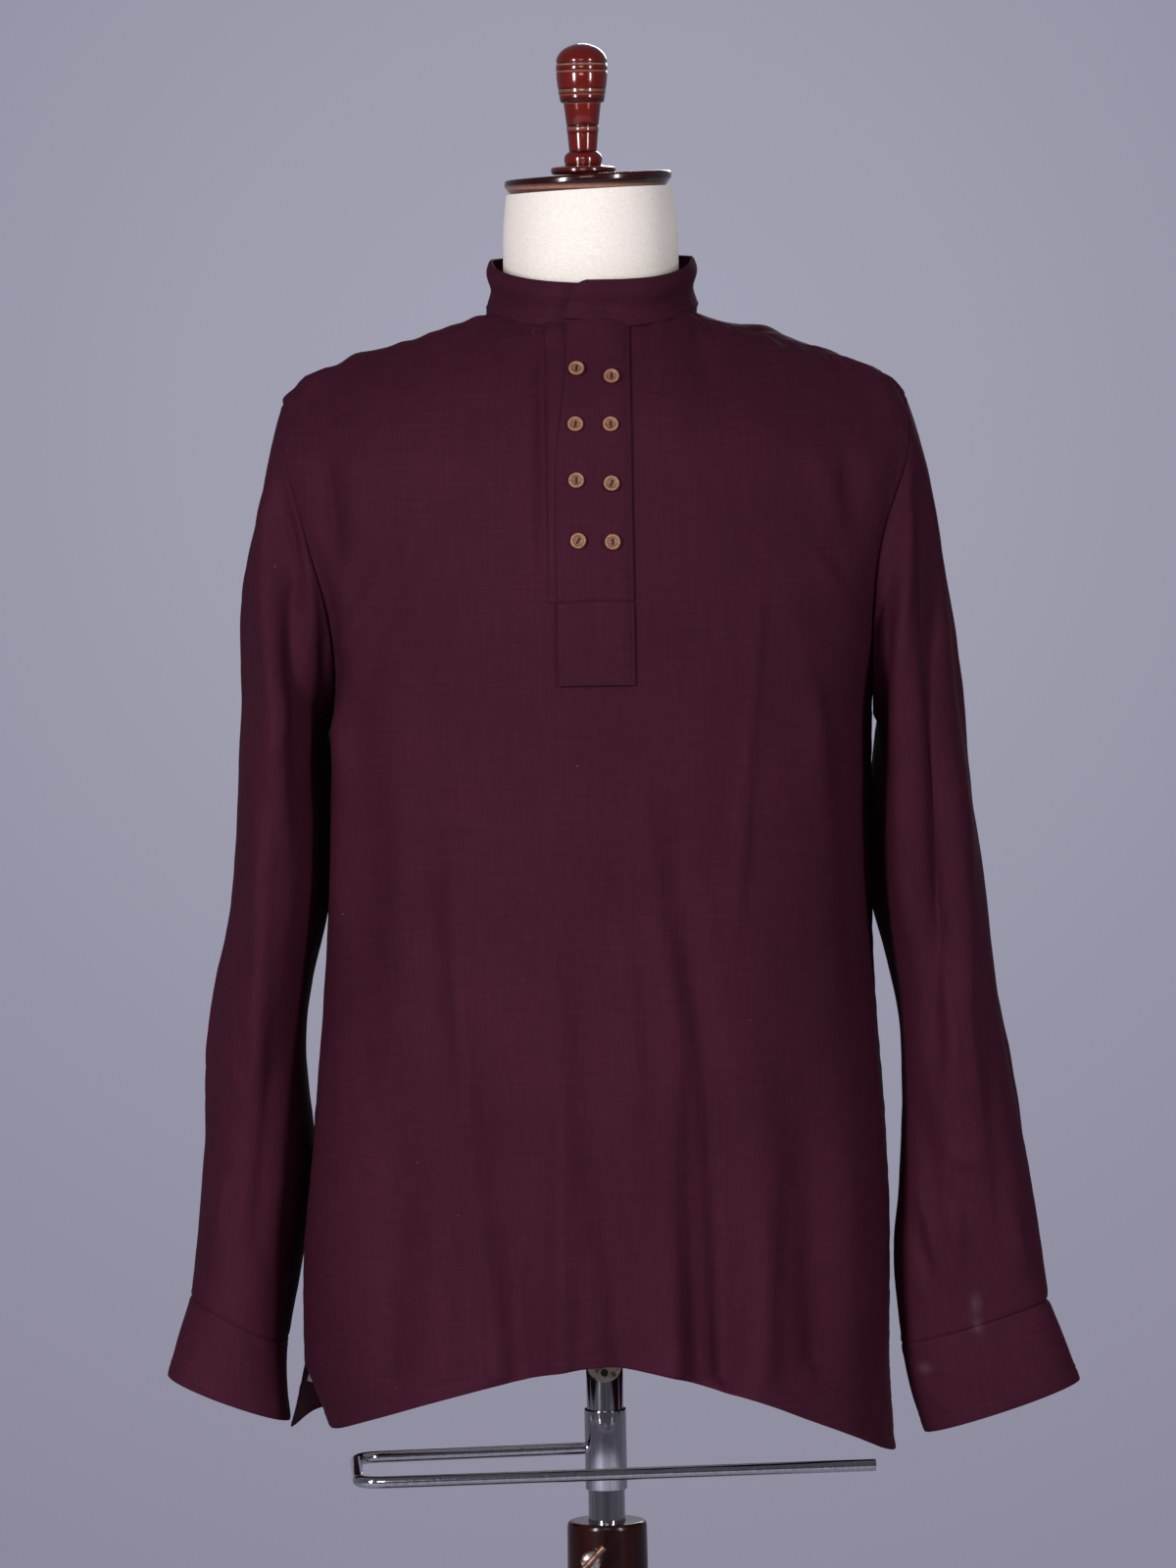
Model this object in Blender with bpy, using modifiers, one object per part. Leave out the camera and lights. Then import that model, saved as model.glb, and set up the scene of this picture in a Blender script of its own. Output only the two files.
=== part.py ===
"""Kurta tunic worn on a limbless tailor's dress form with a pole stand.

Metres. +X is the wearer's left, which is the viewer's right, -Y is the front and +Z is up.
The origin is on the floor, under the middle of the base.

Each cloth panel is a smooth sheet with two parameters. u runs across it from -1 at the
viewer's left edge to 1 at the right edge, and v runs down it from 0 at the neck and
shoulder to 1 at the hem. Front and back share their side seams, and the sleeves start
from the panels' own armhole edges, so that all pieces meet with one seam gap.
"""
import math
from collections import namedtuple

import bmesh
import bpy
import numpy as np
from mathutils import Matrix, Vector

# ---------------------------------------------------------------- driving dimensions
CLOTH = 0.0012            # wall of one cloth panel
BAND = 0.0018             # wall of the collar and cuffs, two layers and interfacing
SEAM_GAP = 0.0003         # gap between neighbouring pieces
LAYER_GAP = 0.0004        # gap under a piece that lies on a panel

NECK_X = 0.0045           # the neck opening sits a little to the right of the stand's axis
NECK_HALF_WIDTH = 0.0715
NECK_FRONT = 0.072        # depth of the neck opening in front of the axis
NECK_BACK = 0.068
NECK_SIDE_Z = 1.4535
NECK_FRONT_DROP = 0.016
NECK_BACK_DROP = 0.001
NECK_SHARE = 0.30         # part of a panel's half width that the neck takes
SEAM_ANGLE = math.radians(66)   # where the front yoke seam leaves the neck

COLLAR_HEIGHT = 0.0285
COLLAR_BACK_RISE = 0.0055  # the band stands taller at the back
OVERLAP_START = -24       # degrees, the lower end, under the overlap
OVERLAP_END = 374.5       # degrees, the foot of the upper end, past the front middle
OVERLAP_SLANT = 6.5       # degrees by which the upper end leans back at its top
OVERLAP_LIFT = 0.0026     # how far the upper end stands outside the lower one
OVERLAP_RAISE = 0.006     # the upper end is buttoned a little high

UNDERARM_V = 0.37
SLIT_V = 0.94
YOKE_V = 0.12             # the yoke ends here on the back
SHEET_WIDTH = 0.29        # nominal half width of a panel along the cloth, for fold widths

PLACKET_LEFT = -0.0226    # free edge of the placket
PLACKET_TOP_LEFT = -0.013  # its free edge slants inward at the neck
PLACKET_RIGHT = 0.0292
UNDER_PLACKET_LEFT = -0.0282
SLIT_HALF = 0.0006        # half width of the neck slit under the placket
PLACKET_V = 0.27          # seam between the placket and its box
BOX_V = 0.34              # lower end of the box

BUTTON_RADIUS = 0.0055
BUTTON_THICKNESS = 0.0026

NECK_RADIUS = 0.0600      # of the dress form
CAP_RADIUS = 0.0572
CAP_TOP = 1.5405
POLE_RADIUS = 0.0127
POLE_TOP = 0.7235
POLE_END = 0.300
COLUMN_TOP = 0.6155
COLUMN_RADIUS = 0.0275
BORE_RADIUS = 0.0132
BORE_END = 0.268
BASE_RADIUS = 0.200
BASE_HEIGHT = 0.030
BAR_Z = 0.6655
BAR_RADIUS = 0.0041
BAR_COLLAR_TOP = 0.693
BAR_COLLAR_END = 0.6375
BAR_COLLAR_RADIUS = 0.0145
CLAMP_Z = 0.592

# ---------------------------------------------------------------- tables
# The middle of the front and back panels, down the garment.
Mid = namedtuple("Mid", "v z_front y_front z_back y_back squareness")
MIDS = (
    Mid(0.12, 1.350, -0.1180, 1.372, 0.1180, 2.05),
    Mid(0.20, 1.302, -0.1310, 1.310, 0.1320, 2.10),
    Mid(0.27, 1.254, -0.1370, 1.255, 0.1380, 2.15),
    Mid(0.34, 1.198, -0.1390, 1.205, 0.1390, 2.20),
    Mid(0.37, 1.176, -0.1392, 1.178, 0.1385, 2.25),
    Mid(0.47, 1.103, -0.1380, 1.103, 0.1360, 2.25),
    Mid(0.63, 0.992, -0.1355, 0.990, 0.1330, 2.25),
    Mid(0.77, 0.892, -0.1350, 0.882, 0.1330, 2.25),
    Mid(0.88, 0.816, -0.1360, 0.795, 0.1350, 2.20),
    Mid(0.94, 0.776, -0.1370, 0.748, 0.1370, 2.20),
    Mid(1.00, 0.740, -0.1380, 0.703, 0.1390, 2.20),
)

# Armhole edges of the panels, from the shoulder to the underarm. turn is how far the
# panel has turned from facing forward when it reaches the seam, in degrees.
Armhole = namedtuple("Armhole", "v z x_left x_right y turn")
FRONT_ARMHOLE = (
    Armhole(0.12, 1.336, -0.2035, 0.2140, -0.046, 62),
    Armhole(0.20, 1.288, -0.1905, 0.1975, -0.058, 66),
    Armhole(0.27, 1.242, -0.1785, 0.1915, -0.055, 72),
    Armhole(0.34, 1.192, -0.1755, 0.1905, -0.028, 82),
    Armhole(0.37, 1.168, -0.1785, 0.1915, 0.004, 90),
)
BACK_ARMHOLE = (
    Armhole(0.12, 1.338, -0.2075, 0.2155, 0.052, 62),
    Armhole(0.20, 1.290, -0.2000, 0.2065, 0.068, 66),
    Armhole(0.27, 1.242, -0.1920, 0.1995, 0.064, 72),
    Armhole(0.34, 1.194, -0.1840, 0.1945, 0.036, 82),
    Armhole(0.37, 1.168, -0.1785, 0.1915, 0.004, 90),
)

# The side seams, shared by front and back, and the two edges of each slit.
Side = namedtuple("Side", "v z_left x_left z_right x_right y")
SIDE_SEAM = (
    Side(0.37, 1.168, -0.1785, 1.168, 0.1915, 0.004),
    Side(0.47, 1.096, -0.1815, 1.096, 0.1895, 0.004),
    Side(0.63, 0.986, -0.1875, 0.986, 0.1905, 0.004),
    Side(0.77, 0.884, -0.1975, 0.884, 0.1965, 0.004),
    Side(0.88, 0.794, -0.2055, 0.794, 0.1980, 0.004),
    Side(0.94, 0.729, -0.2060, 0.722, 0.1965, 0.004),
)
FRONT_SLIT = (
    Side(0.94, 0.729, -0.2060, 0.722, 0.1965, 0.004),
    Side(1.00, 0.689, -0.1880, 0.667, 0.1975, -0.030),
)
BACK_SLIT = (
    Side(0.94, 0.729, -0.2060, 0.722, 0.1965, 0.004),
    Side(1.00, 0.676, -0.2190, 0.666, 0.2000, 0.056),
)

# The front yoke seam, from the neck to the top of the armhole.
Shoulder = namedtuple("Shoulder", "share x_left z_left x_right z_right y_left y_right")
SHOULDER_SEAM = (
    Shoulder(0.00, -0.0608, 1.4475, 0.0698, 1.4455, -0.029, -0.029),
    Shoulder(0.20, -0.0850, 1.4405, 0.0950, 1.4368, -0.022, -0.027),
    Shoulder(0.40, -0.1120, 1.4315, 0.1210, 1.4296, -0.014, -0.021),
    Shoulder(0.60, -0.1400, 1.4230, 0.1480, 1.4225, -0.009, -0.012),
    Shoulder(0.80, -0.1710, 1.4135, 0.1790, 1.4118, -0.006, -0.007),
    Shoulder(0.92, -0.1955, 1.4040, 0.2030, 1.4015, -0.005, -0.005),
    Shoulder(1.00, -0.2080, 1.3880, 0.2170, 1.3870, -0.004, -0.004),
)

# How a panel's cloth leaves the neck or the shoulder: at the middle, at the neck point
# and at the armhole. x is outward, and the length sets how far the start is felt.
Leave = namedtuple("Leave", "a x y z")
FRONT_LEAVE = (
    Leave(0.0, 0.000, -0.050, -0.075),
    Leave(NECK_SHARE, 0.020, -0.085, -0.050),
    Leave(0.7, 0.012, -0.085, -0.040),
    Leave(1.0, 0.004, -0.045, -0.028),
)
BACK_LEAVE = (
    Leave(0.0, 0.000, 0.065, -0.055),
    Leave(NECK_SHARE, 0.016, 0.105, 0.018),
    Leave(0.7, 0.012, 0.105, 0.024),
    Leave(1.0, 0.006, 0.060, 0.004),
)

# Soft folds. A ridge has a positive height and a trough a negative one. They start at
# v_top, fade in over v_soft, and run to the hem unless v_low is less than 1.
Fold = namedtuple("Fold", "u_top u_low v_top v_low v_soft half_width height")
FRONT_FOLDS = (
    Fold(0.155, 0.205, 0.60, 1.20, 0.20, 0.024, -0.0100),
    Fold(0.260, 0.310, 0.56, 1.20, 0.20, 0.030, 0.0070),
    Fold(0.070, 0.100, 0.58, 1.20, 0.18, 0.030, 0.0050),
    Fold(-0.180, -0.235, 0.60, 1.20, 0.20, 0.028, -0.0065),
    Fold(-0.300, -0.370, 0.52, 1.20, 0.20, 0.034, 0.0060),
    Fold(-0.560, -0.600, 0.55, 1.20, 0.20, 0.040, 0.0050),
    Fold(0.560, 0.600, 0.60, 1.20, 0.22, 0.040, 0.0045),
    Fold(-0.880, -0.700, 0.17, 0.46, 0.08, 0.022, 0.0060),
)
BACK_FOLDS = (
    Fold(0.240, 0.300, 0.40, 1.20, 0.22, 0.034, 0.0080),
    Fold(0.420, 0.470, 0.45, 1.20, 0.22, 0.030, -0.0070),
    Fold(-0.200, -0.260, 0.42, 1.20, 0.24, 0.036, 0.0075),
    Fold(-0.400, -0.440, 0.50, 1.20, 0.20, 0.028, -0.0065),
    Fold(0.020, 0.010, 0.55, 1.20, 0.22, 0.030, -0.0050),
    Fold(0.640, 0.690, 0.40, 1.20, 0.20, 0.034, 0.0060),
    Fold(-0.620, -0.680, 0.45, 1.20, 0.20, 0.034, 0.0065),
)
YOKE_FOLDS = (
    Fold(0.560, 0.560, 0.00, 0.08, 0.03, 0.024, 0.0060),
    Fold(-0.780, -0.780, 0.00, 0.07, 0.03, 0.014, 0.0045),
)

# Sleeve rings below the armhole, each through its outer and inner points. tuck is how far
# the cloth bulges toward the body, just behind the inner point.
Ring = namedtuple("Ring", "x_out z_out x_in z_in y_front y_back tuck")
SLEEVES = {
    "left": (
        Ring(-0.2433, 1.150, -0.1860, 1.150, -0.076, 0.088, 0.0115),
        Ring(-0.2500, 1.060, -0.1890, 1.055, -0.068, 0.084, 0.0100),
        Ring(-0.2635, 0.968, -0.2012, 0.960, -0.059, 0.076, 0.0000),
        Ring(-0.2725, 0.885, -0.2040, 0.870, -0.046, 0.082, 0.0110),
        Ring(-0.2785, 0.822, -0.2125, 0.800, -0.044, 0.076, 0.0105),
        Ring(-0.2836, 0.777, -0.2190, 0.745, -0.048, 0.048, 0.0040),
    ),
    "right": (
        Ring(0.2535, 1.150, 0.1975, 1.150, -0.078, 0.088, 0.0060),
        Ring(0.2650, 1.060, 0.1965, 1.055, -0.072, 0.080, 0.0138),
        Ring(0.2770, 0.968, 0.2072, 0.955, -0.066, 0.068, 0.0000),
        Ring(0.2895, 0.885, 0.2050, 0.862, -0.060, 0.052, 0.0000),
        Ring(0.2985, 0.822, 0.1995, 0.795, -0.054, 0.034, 0.0000),
        Ring(0.3050, 0.766, 0.2040, 0.737, -0.048, 0.016, 0.0000),
    ),
}
CUFFS = {
    "left": (
        Ring(-0.2836, 0.777, -0.2190, 0.745, -0.048, 0.048, 0.0040),
        Ring(-0.2925, 0.750, -0.2180, 0.718, -0.050, 0.038, 0.0000),
        Ring(-0.3003, 0.723, -0.2162, 0.691, -0.050, 0.032, 0.0000),
    ),
    "right": (
        Ring(0.3050, 0.766, 0.2040, 0.737, -0.048, 0.016, 0.0000),
        Ring(0.3165, 0.738, 0.2100, 0.706, -0.050, 0.017, 0.0000),
        Ring(0.3263, 0.710, 0.2195, 0.676, -0.050, 0.018, 0.0000),
    ),
}
TUCK_ANGLE = math.radians(216)   # where a sleeve hangs in behind the body's side
TUCK_SPREAD = math.radians(30)
SLEEVE_SQUARENESS = 2.15

# Rings of the dress form's body.
FormRing = namedtuple("FormRing", "z half_width y_front y_back squareness x")
FORM_RINGS = (
    FormRing(0.7480, 0.146, -0.098, 0.100, 2.2, 0.0),
    FormRing(0.7560, 0.152, -0.103, 0.106, 2.2, 0.0),
    FormRing(0.8600, 0.160, -0.108, 0.116, 2.2, 0.0),
    FormRing(0.9500, 0.153, -0.104, 0.108, 2.2, 0.0),
    FormRing(1.0300, 0.146, -0.101, 0.101, 2.2, 0.0),
    FormRing(1.1100, 0.152, -0.110, 0.106, 2.2, 0.0),
    FormRing(1.1900, 0.160, -0.121, 0.116, 2.2, 0.0),
    FormRing(1.2500, 0.167, -0.125, 0.122, 2.1, 0.0),
    FormRing(1.3000, 0.176, -0.118, 0.120, 2.0, 0.0),
    FormRing(1.3450, 0.184, -0.100, 0.106, 1.9, 0.002),
    FormRing(1.3750, 0.183, -0.080, 0.090, 1.8, 0.003),
    FormRing(1.3950, 0.172, -0.063, 0.076, 1.7, 0.004),
    FormRing(1.4070, 0.144, -0.050, 0.058, 1.7, 0.004),
    FormRing(1.4180, 0.108, -0.047, 0.046, 1.8, 0.004),
    FormRing(1.4300, 0.074, -0.049, 0.047, 1.9, 0.004),
    FormRing(1.4440, 0.064, -0.055, 0.054, 2.0, 0.004),
    FormRing(1.4600, NECK_RADIUS + 0.001, -0.0575, 0.0575, 2.0, 0.004),
    FormRing(1.4800, NECK_RADIUS, -NECK_RADIUS, NECK_RADIUS, 2.0, 0.004),
    FormRing(1.5060, NECK_RADIUS, -NECK_RADIUS, NECK_RADIUS, 2.0, 0.004),
    FormRing(1.5300, NECK_RADIUS - 0.0022, -0.0578, 0.0578, 2.0, 0.0035),
)

# Where the CAD sheets are sampled.
SIDE_US = (0.15, 0.22, NECK_SHARE, 0.38, 0.47, 0.56, 0.65, 0.74, 0.83, 0.92, 1.0)
ARMHOLE_VS = (0.0, 0.03, 0.07, 0.12, 0.16, 0.20, 0.235, 0.27, 0.305, 0.34, 0.37)
LOWER_VS = (0.42, 0.47, 0.55, 0.63, 0.70, 0.77, 0.83, 0.88, 0.94, 1.0)
CAP_ROWS = 5
SLEEVE_ROWS = 9
CUFF_TS = (0.0, 0.3, 0.65, 1.0)
MIDDLE_US = (0.0, 0.05, 0.10)    # of the back


# ---------------------------------------------------------------- curves
def hermite(start, end, start_slope, end_slope, s):
    """Point at s from 0 to 1 on the cubic with these ends and end slopes."""
    return ((2 * s**3 - 3 * s**2 + 1) * start + (s**3 - 2 * s**2 + s) * start_slope
            + (3 * s**2 - 2 * s**3) * end + (s**3 - s**2) * end_slope)


def spline(rows, at):
    """Smooth values at `at` through rows whose first column is the knot."""
    table = np.array(rows, dtype=float)
    knots, values = table[:, 0], table[:, 1:]
    slopes = np.gradient(values, knots, axis=0)
    at = np.asarray(at, dtype=float)
    i = np.clip(np.searchsorted(knots, at, side="right") - 1, 0, len(knots) - 2)
    step = (knots[i + 1] - knots[i])[..., None]
    s = (at - knots[i])[..., None] / step
    return hermite(values[i], values[i + 1], slopes[i] * step, slopes[i + 1] * step, s)


def smoothstep(x):
    x = np.clip(x, 0.0, 1.0)
    return x * x * (3 - 2 * x)


def unit(vectors):
    return vectors / np.linalg.norm(vectors, axis=-1, keepdims=True)


def rounded(angle, squareness):
    """Sine and cosine of a superellipse, which is a circle at squareness 2."""
    sine, cosine = np.sin(angle), np.cos(angle)
    reach = (np.abs(sine)**squareness + np.abs(cosine)**squareness)**(-1 / squareness)
    return sine * reach, cosine * reach


# ---------------------------------------------------------------- front and back panels
def armhole_and_side(u, v, front):
    """Edge points beside (u, v), and how far the panel turns before it reaches them."""
    left = u < 0
    arm = spline(FRONT_ARMHOLE if front else BACK_ARMHOLE, np.minimum(v, UNDERARM_V))
    seam = spline(SIDE_SEAM, np.clip(v, UNDERARM_V, SLIT_V))
    slit = spline(FRONT_SLIT if front else BACK_SLIT, np.maximum(v, SLIT_V))
    low = np.where((v > SLIT_V)[..., None], slit, seam)
    above = v < UNDERARM_V
    x = np.where(above, np.where(left, arm[..., 1], arm[..., 2]),
                 np.where(left, low[..., 1], low[..., 3]))
    z = np.where(above, arm[..., 0], np.where(left, low[..., 0], low[..., 2]))
    y = np.where(above, arm[..., 3], low[..., 4])
    turn = np.where(above, arm[..., 4], 90.0)
    return x, y, z, np.radians(turn)


def hanging(u, v, front):
    """The sheet below the chest: an arc from the panel's middle to its edge."""
    mid = spline(MIDS, v)
    z_mid, y_mid = (mid[..., 0], mid[..., 1]) if front else (mid[..., 2], mid[..., 3])
    x_edge, y_edge, z_edge, turn = armhole_and_side(u, v, front)
    sine, cosine = rounded(np.abs(u) * turn, mid[..., 4])
    sine_end, cosine_end = rounded(turn, mid[..., 4])
    across = sine / sine_end
    fall = (1 - cosine) / (1 - cosine_end)
    return np.stack([x_edge * across,
                     y_mid + (y_edge - y_mid) * fall,
                     z_mid + (z_edge - z_mid) * across**1.5], axis=-1)


def neck_point(angle):
    """Point of the neckline; the angle is 0 at the front and positive to the right."""
    front = np.cos(angle) > 0
    depth = np.where(front, -NECK_FRONT, NECK_BACK) * np.abs(np.cos(angle))
    drop = np.where(front, NECK_FRONT_DROP, NECK_BACK_DROP) * np.abs(np.cos(angle))
    return np.stack([NECK_X + NECK_HALF_WIDTH * np.sin(angle), depth,
                     NECK_SIDE_Z - drop], axis=-1)


def top_edge(u, front):
    """The neckline, and beyond it the front yoke seam out to the armhole."""
    side = np.where(u < 0, -1.0, 1.0)
    a = np.abs(u)
    share = np.minimum(a / NECK_SHARE, 1.0)
    start = 0.0 if front else math.pi
    neck = neck_point(side * (start + (SEAM_ANGLE - start) * share))
    seam = spline(SHOULDER_SEAM, (np.maximum(a, NECK_SHARE) - NECK_SHARE) / (1 - NECK_SHARE))
    left = np.stack([seam[..., 0], seam[..., 4], seam[..., 1]], axis=-1)
    right = np.stack([seam[..., 2], seam[..., 5], seam[..., 3]], axis=-1)
    shoulder = np.where((u < 0)[..., None], left, right)
    return np.where((a > NECK_SHARE)[..., None], shoulder, neck)


def bare_sheet(u, v, front):
    """The panel without folds: it leaves the top edge and joins the hanging part."""
    top = top_edge(u, front)
    leave = spline(FRONT_LEAVE if front else BACK_LEAVE, np.abs(u))
    leave = leave * np.stack([np.where(u < 0, -1.0, 1.0)] + [np.ones_like(u)] * 2, axis=-1)
    joint_v = np.full_like(v, YOKE_V)
    join = hanging(u, joint_v, front)
    step = 0.01
    slope = (hanging(u, joint_v + step, front) - join) / step * YOKE_V
    s = np.clip(v / YOKE_V, 0.0, 1.0)[..., None]
    upper = hermite(top, join, leave * 1.15, slope, s)
    lower = hanging(u, np.maximum(v, YOKE_V), front)
    return np.where((v < YOKE_V)[..., None], upper, lower)


def fold_height(u, v, folds):
    height = np.zeros_like(u)
    for fold in folds:
        along = (v - fold.v_top) / (min(fold.v_low, 1.0) - fold.v_top)
        centre = fold.u_top + (fold.u_low - fold.u_top) * np.clip(along, 0.0, 1.0)
        off = (u - centre) * SHEET_WIDTH / fold.half_width
        fade = smoothstep((v - fold.v_top) / fold.v_soft)
        fade = fade * smoothstep((fold.v_low - v) / fold.v_soft)
        height += fold.height * np.exp(-off**2) * fade
    edge = smoothstep((1 - np.abs(u)) / 0.12)
    return height * edge


def sheet(u, v, front, lift=0.0):
    """Outer face of a body panel at (u, v), and its outward normal."""
    u, v = np.broadcast_arrays(np.asarray(u, float), np.asarray(v, float))
    step = 0.002
    u_low, u_high = np.maximum(u - step, -1.0), np.minimum(u + step, 1.0)
    v_low, v_high = np.maximum(v - step, 0.0), np.minimum(v + step, 1.0)
    across = bare_sheet(u_high, v, front) - bare_sheet(u_low, v, front)
    down = bare_sheet(u, v_high, front) - bare_sheet(u, v_low, front)
    normal = unit(np.cross(down, across)) * (1.0 if front else -1.0)
    folds = FRONT_FOLDS if front else BACK_FOLDS + YOKE_FOLDS
    height = fold_height(u, v, folds) + lift
    return bare_sheet(u, v, front) + height[..., None] * normal, normal


# ---------------------------------------------------------------- sleeves
def armhole(side, share):
    """Armhole seam at share 0 (shoulder) to 0.5 (underarm, by the front) to 1 (back).

    Also gives the direction in which the sleeve leaves it: on from the panel at the
    shoulder, and straight out to the side at the underarm.
    """
    sign = -1.0 if side == "left" else 1.0
    front_v = np.clip(share * 2, 0, 1) * UNDERARM_V
    back_v = np.clip(2 - share * 2, 0, 1) * UNDERARM_V
    ahead = (share <= 0.5)[..., None]
    edge = np.full_like(share, sign)
    seam = np.where(ahead, sheet(edge, front_v, True)[0], sheet(edge, back_v, False)[0])
    inner = np.where(ahead, sheet(edge * 0.985, front_v, True)[0],
                     sheet(edge * 0.985, back_v, False)[0])
    high = smoothstep((np.abs(share - 0.5) - 0.15) / 0.25)[..., None]
    sideways = np.array([sign, 0.0, 0.0])
    return seam, unit(unit(seam - inner) * high + sideways * (1.15 - high))


def ring_point(row, angle):
    """Point of a sleeve ring; the angle is 0 at the outer point and 90 degrees in front."""
    x_out, z_out, x_in, z_in, y_front, y_back, tuck = np.moveaxis(row, -1, 0)
    sine, cosine = rounded(angle, SLEEVE_SQUARENESS)
    y_mid = (y_front + y_back) / 2
    depth = (y_back - y_front) / 2
    inward = np.sign(x_in - x_out) * tuck * np.exp(-((angle - TUCK_ANGLE) / TUCK_SPREAD)**2)
    return np.stack([(x_out + x_in) / 2 + (x_out - x_in) / 2 * cosine + inward,
                     y_mid - depth * sine,
                     (z_out + z_in) / 2 + (z_out - z_in) / 2 * cosine], axis=-1)


def tube(rings, share, t):
    """Point on the tube through the rings, at t from 0 to 1 along it."""
    knots = np.linspace(0.0, 1.0, len(rings))
    rows = spline([(knot, *ring) for knot, ring in zip(knots, rings)], t)
    return ring_point(rows, share * 2 * math.pi)


def sleeve_point(side, share, t):
    """Point on a sleeve: the cap for t below 0 (-1 is the armhole), then the tube."""
    seam, outward = armhole(side, share)
    first = tube(SLEEVES[side], share, np.zeros_like(t))
    step = 0.02
    down = unit(tube(SLEEVES[side], share, np.full_like(t, step)) - first)
    reach = np.linalg.norm(first - seam, axis=-1, keepdims=True)
    drop = np.array([0.0, 0.0, -1.0])
    leave = unit(outward * 0.75 + drop)
    cap = hermite(seam, first, leave * reach, down * reach, np.clip(t + 1, 0, 1)[..., None])
    return np.where((t < 0)[..., None], cap, tube(SLEEVES[side], share, np.maximum(t, 0)))


def tube_normals(points, side):
    """Outward normals of a closed ring grid, rows down and columns around."""
    around = np.roll(points, -1, axis=1) - np.roll(points, 1, axis=1)
    down = np.gradient(points, axis=0)
    sign = 1.0 if side == "right" else -1.0
    return unit(np.cross(around, down)) * sign


# ---------------------------------------------------------------- solids from grids
def finish(name, colour, roughness, metallic=0.0):
    material = bpy.data.materials.new(name)
    material.use_nodes = True
    shader = material.node_tree.nodes["Principled BSDF"]
    shader.inputs["Base Color"].default_value = (*colour, 1.0)
    shader.inputs["Roughness"].default_value = roughness
    shader.inputs["Metallic"].default_value = metallic
    return material


def add_object(name, mesh, material, collection):
    mesh.materials.append(material)
    item = bpy.data.objects.new(name, mesh)
    collection.objects.link(item)
    return item


def wall(name, outer, inner, material, collection, ring=False, skip=()):
    """Closed wall between two grids of points. skip names cells (row, column) left out."""
    rows, columns = outer.shape[:2]
    bm = bmesh.new()
    place = bm.verts.layers.int.new("place")
    for index, point in enumerate(outer.reshape(-1, 3)):
        bm.verts.new(point)[place] = index
    bm.verts.ensure_lookup_table()
    for r in range(rows - 1):
        for c in range(columns if ring else columns - 1):
            if (r, c) in skip:
                continue
            after = (c + 1) % columns
            corners = (r * columns + c, r * columns + after,
                       (r + 1) * columns + after, (r + 1) * columns + c)
            bm.faces.new([bm.verts[i] for i in corners])
    outside = set(bm.verts)
    bmesh.ops.extrude_face_region(bm, geom=bm.faces[:], use_keep_orig=True)
    flat = inner.reshape(-1, 3)
    for vert in bm.verts:
        if vert not in outside:
            vert.co = flat[vert[place]]
    loose = [vert for vert in bm.verts if not vert.link_faces]
    bmesh.ops.delete(bm, geom=loose, context="VERTS")
    bmesh.ops.recalc_face_normals(bm, faces=bm.faces[:])
    mesh = bpy.data.meshes.new(name)
    bm.to_mesh(mesh)
    bm.free()
    return add_object(name, mesh, material, collection)


def draw_in(grid, edges, gap=SEAM_GAP / 2):
    """Move the named edges of a grid of points into it, to leave a seam gap."""
    grid = grid.copy()
    for edge in edges:
        rim, inside = {"top": (np.s_[0], np.s_[1]), "bottom": (np.s_[-1], np.s_[-2]),
                       "left": (np.s_[:, 0], np.s_[:, 1]),
                       "right": (np.s_[:, -1], np.s_[:, -2])}[edge]
        grid[rim] += unit(grid[inside] - grid[rim]) * gap
    return grid


def cloth_wall(name, points, normals, edges, material, collection, **options):
    """Cloth between a grid of points and the same grid moved in by the cloth's wall."""
    thickness = options.pop("thickness", CLOTH)
    outer = draw_in(points, edges)
    inner = draw_in(points - normals * thickness, edges)
    return wall(name, outer, inner, material, collection, **options)


# ---------------------------------------------------------------- body of the kurta
def placket_edge(v):
    """The placket's free edge, which slants toward the neck point at its top."""
    return PLACKET_LEFT + (PLACKET_TOP_LEFT - PLACKET_LEFT) * smoothstep(1 - v / 0.15)


def columns_at(v, front):
    """u of the columns of one row: fixed ones, and on the front those of the placket."""
    sides = np.array(SIDE_US)
    if not front:
        half = np.array(MIDDLE_US[1:] + SIDE_US)
        return np.concatenate([-half[::-1], [0.0], half])
    dense = np.linspace(-0.14, 0.14, 57)
    xs = bare_sheet(dense, np.full_like(dense, v), True)[:, 0]
    marks = [UNDER_PLACKET_LEFT, placket_edge(v), -SLIT_HALF, SLIT_HALF, PLACKET_RIGHT]
    return np.concatenate([-sides[::-1], np.interp(marks, xs, dense), sides])


def panel_grid(vs, front, lift=0.0):
    us = np.array([columns_at(v, front) for v in vs])
    return sheet(us, np.broadcast_to(np.array(vs)[:, None], us.shape), front, lift)


def share_normals(groups):
    """Give points that several grids share one normal, the mean of their groups' normals.

    The rims of two pieces are then parallel along their seam, whatever angle they meet at.
    """
    shared = {}
    for number, grids in enumerate(groups):
        for points, normals in grids:
            for point, normal in zip(points.reshape(-1, 3), normals.reshape(-1, 3)):
                sums = shared.setdefault(tuple(np.round(point, 5)), {})
                sums[number] = sums.get(number, 0) + normal
    for grids in groups:
        for points, normals in grids:
            for index in np.ndindex(points.shape[:2]):
                sums = shared[tuple(np.round(points[index], 5))].values()
                normals[index] = unit(sum(unit(total) for total in sums))


def armhole_shares():
    """Shares round the armhole at the rows of the front and back panels."""
    ahead = np.array(ARMHOLE_VS) / UNDERARM_V / 2
    return np.concatenate([ahead, 1 - ahead[-2:0:-1]])


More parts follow.
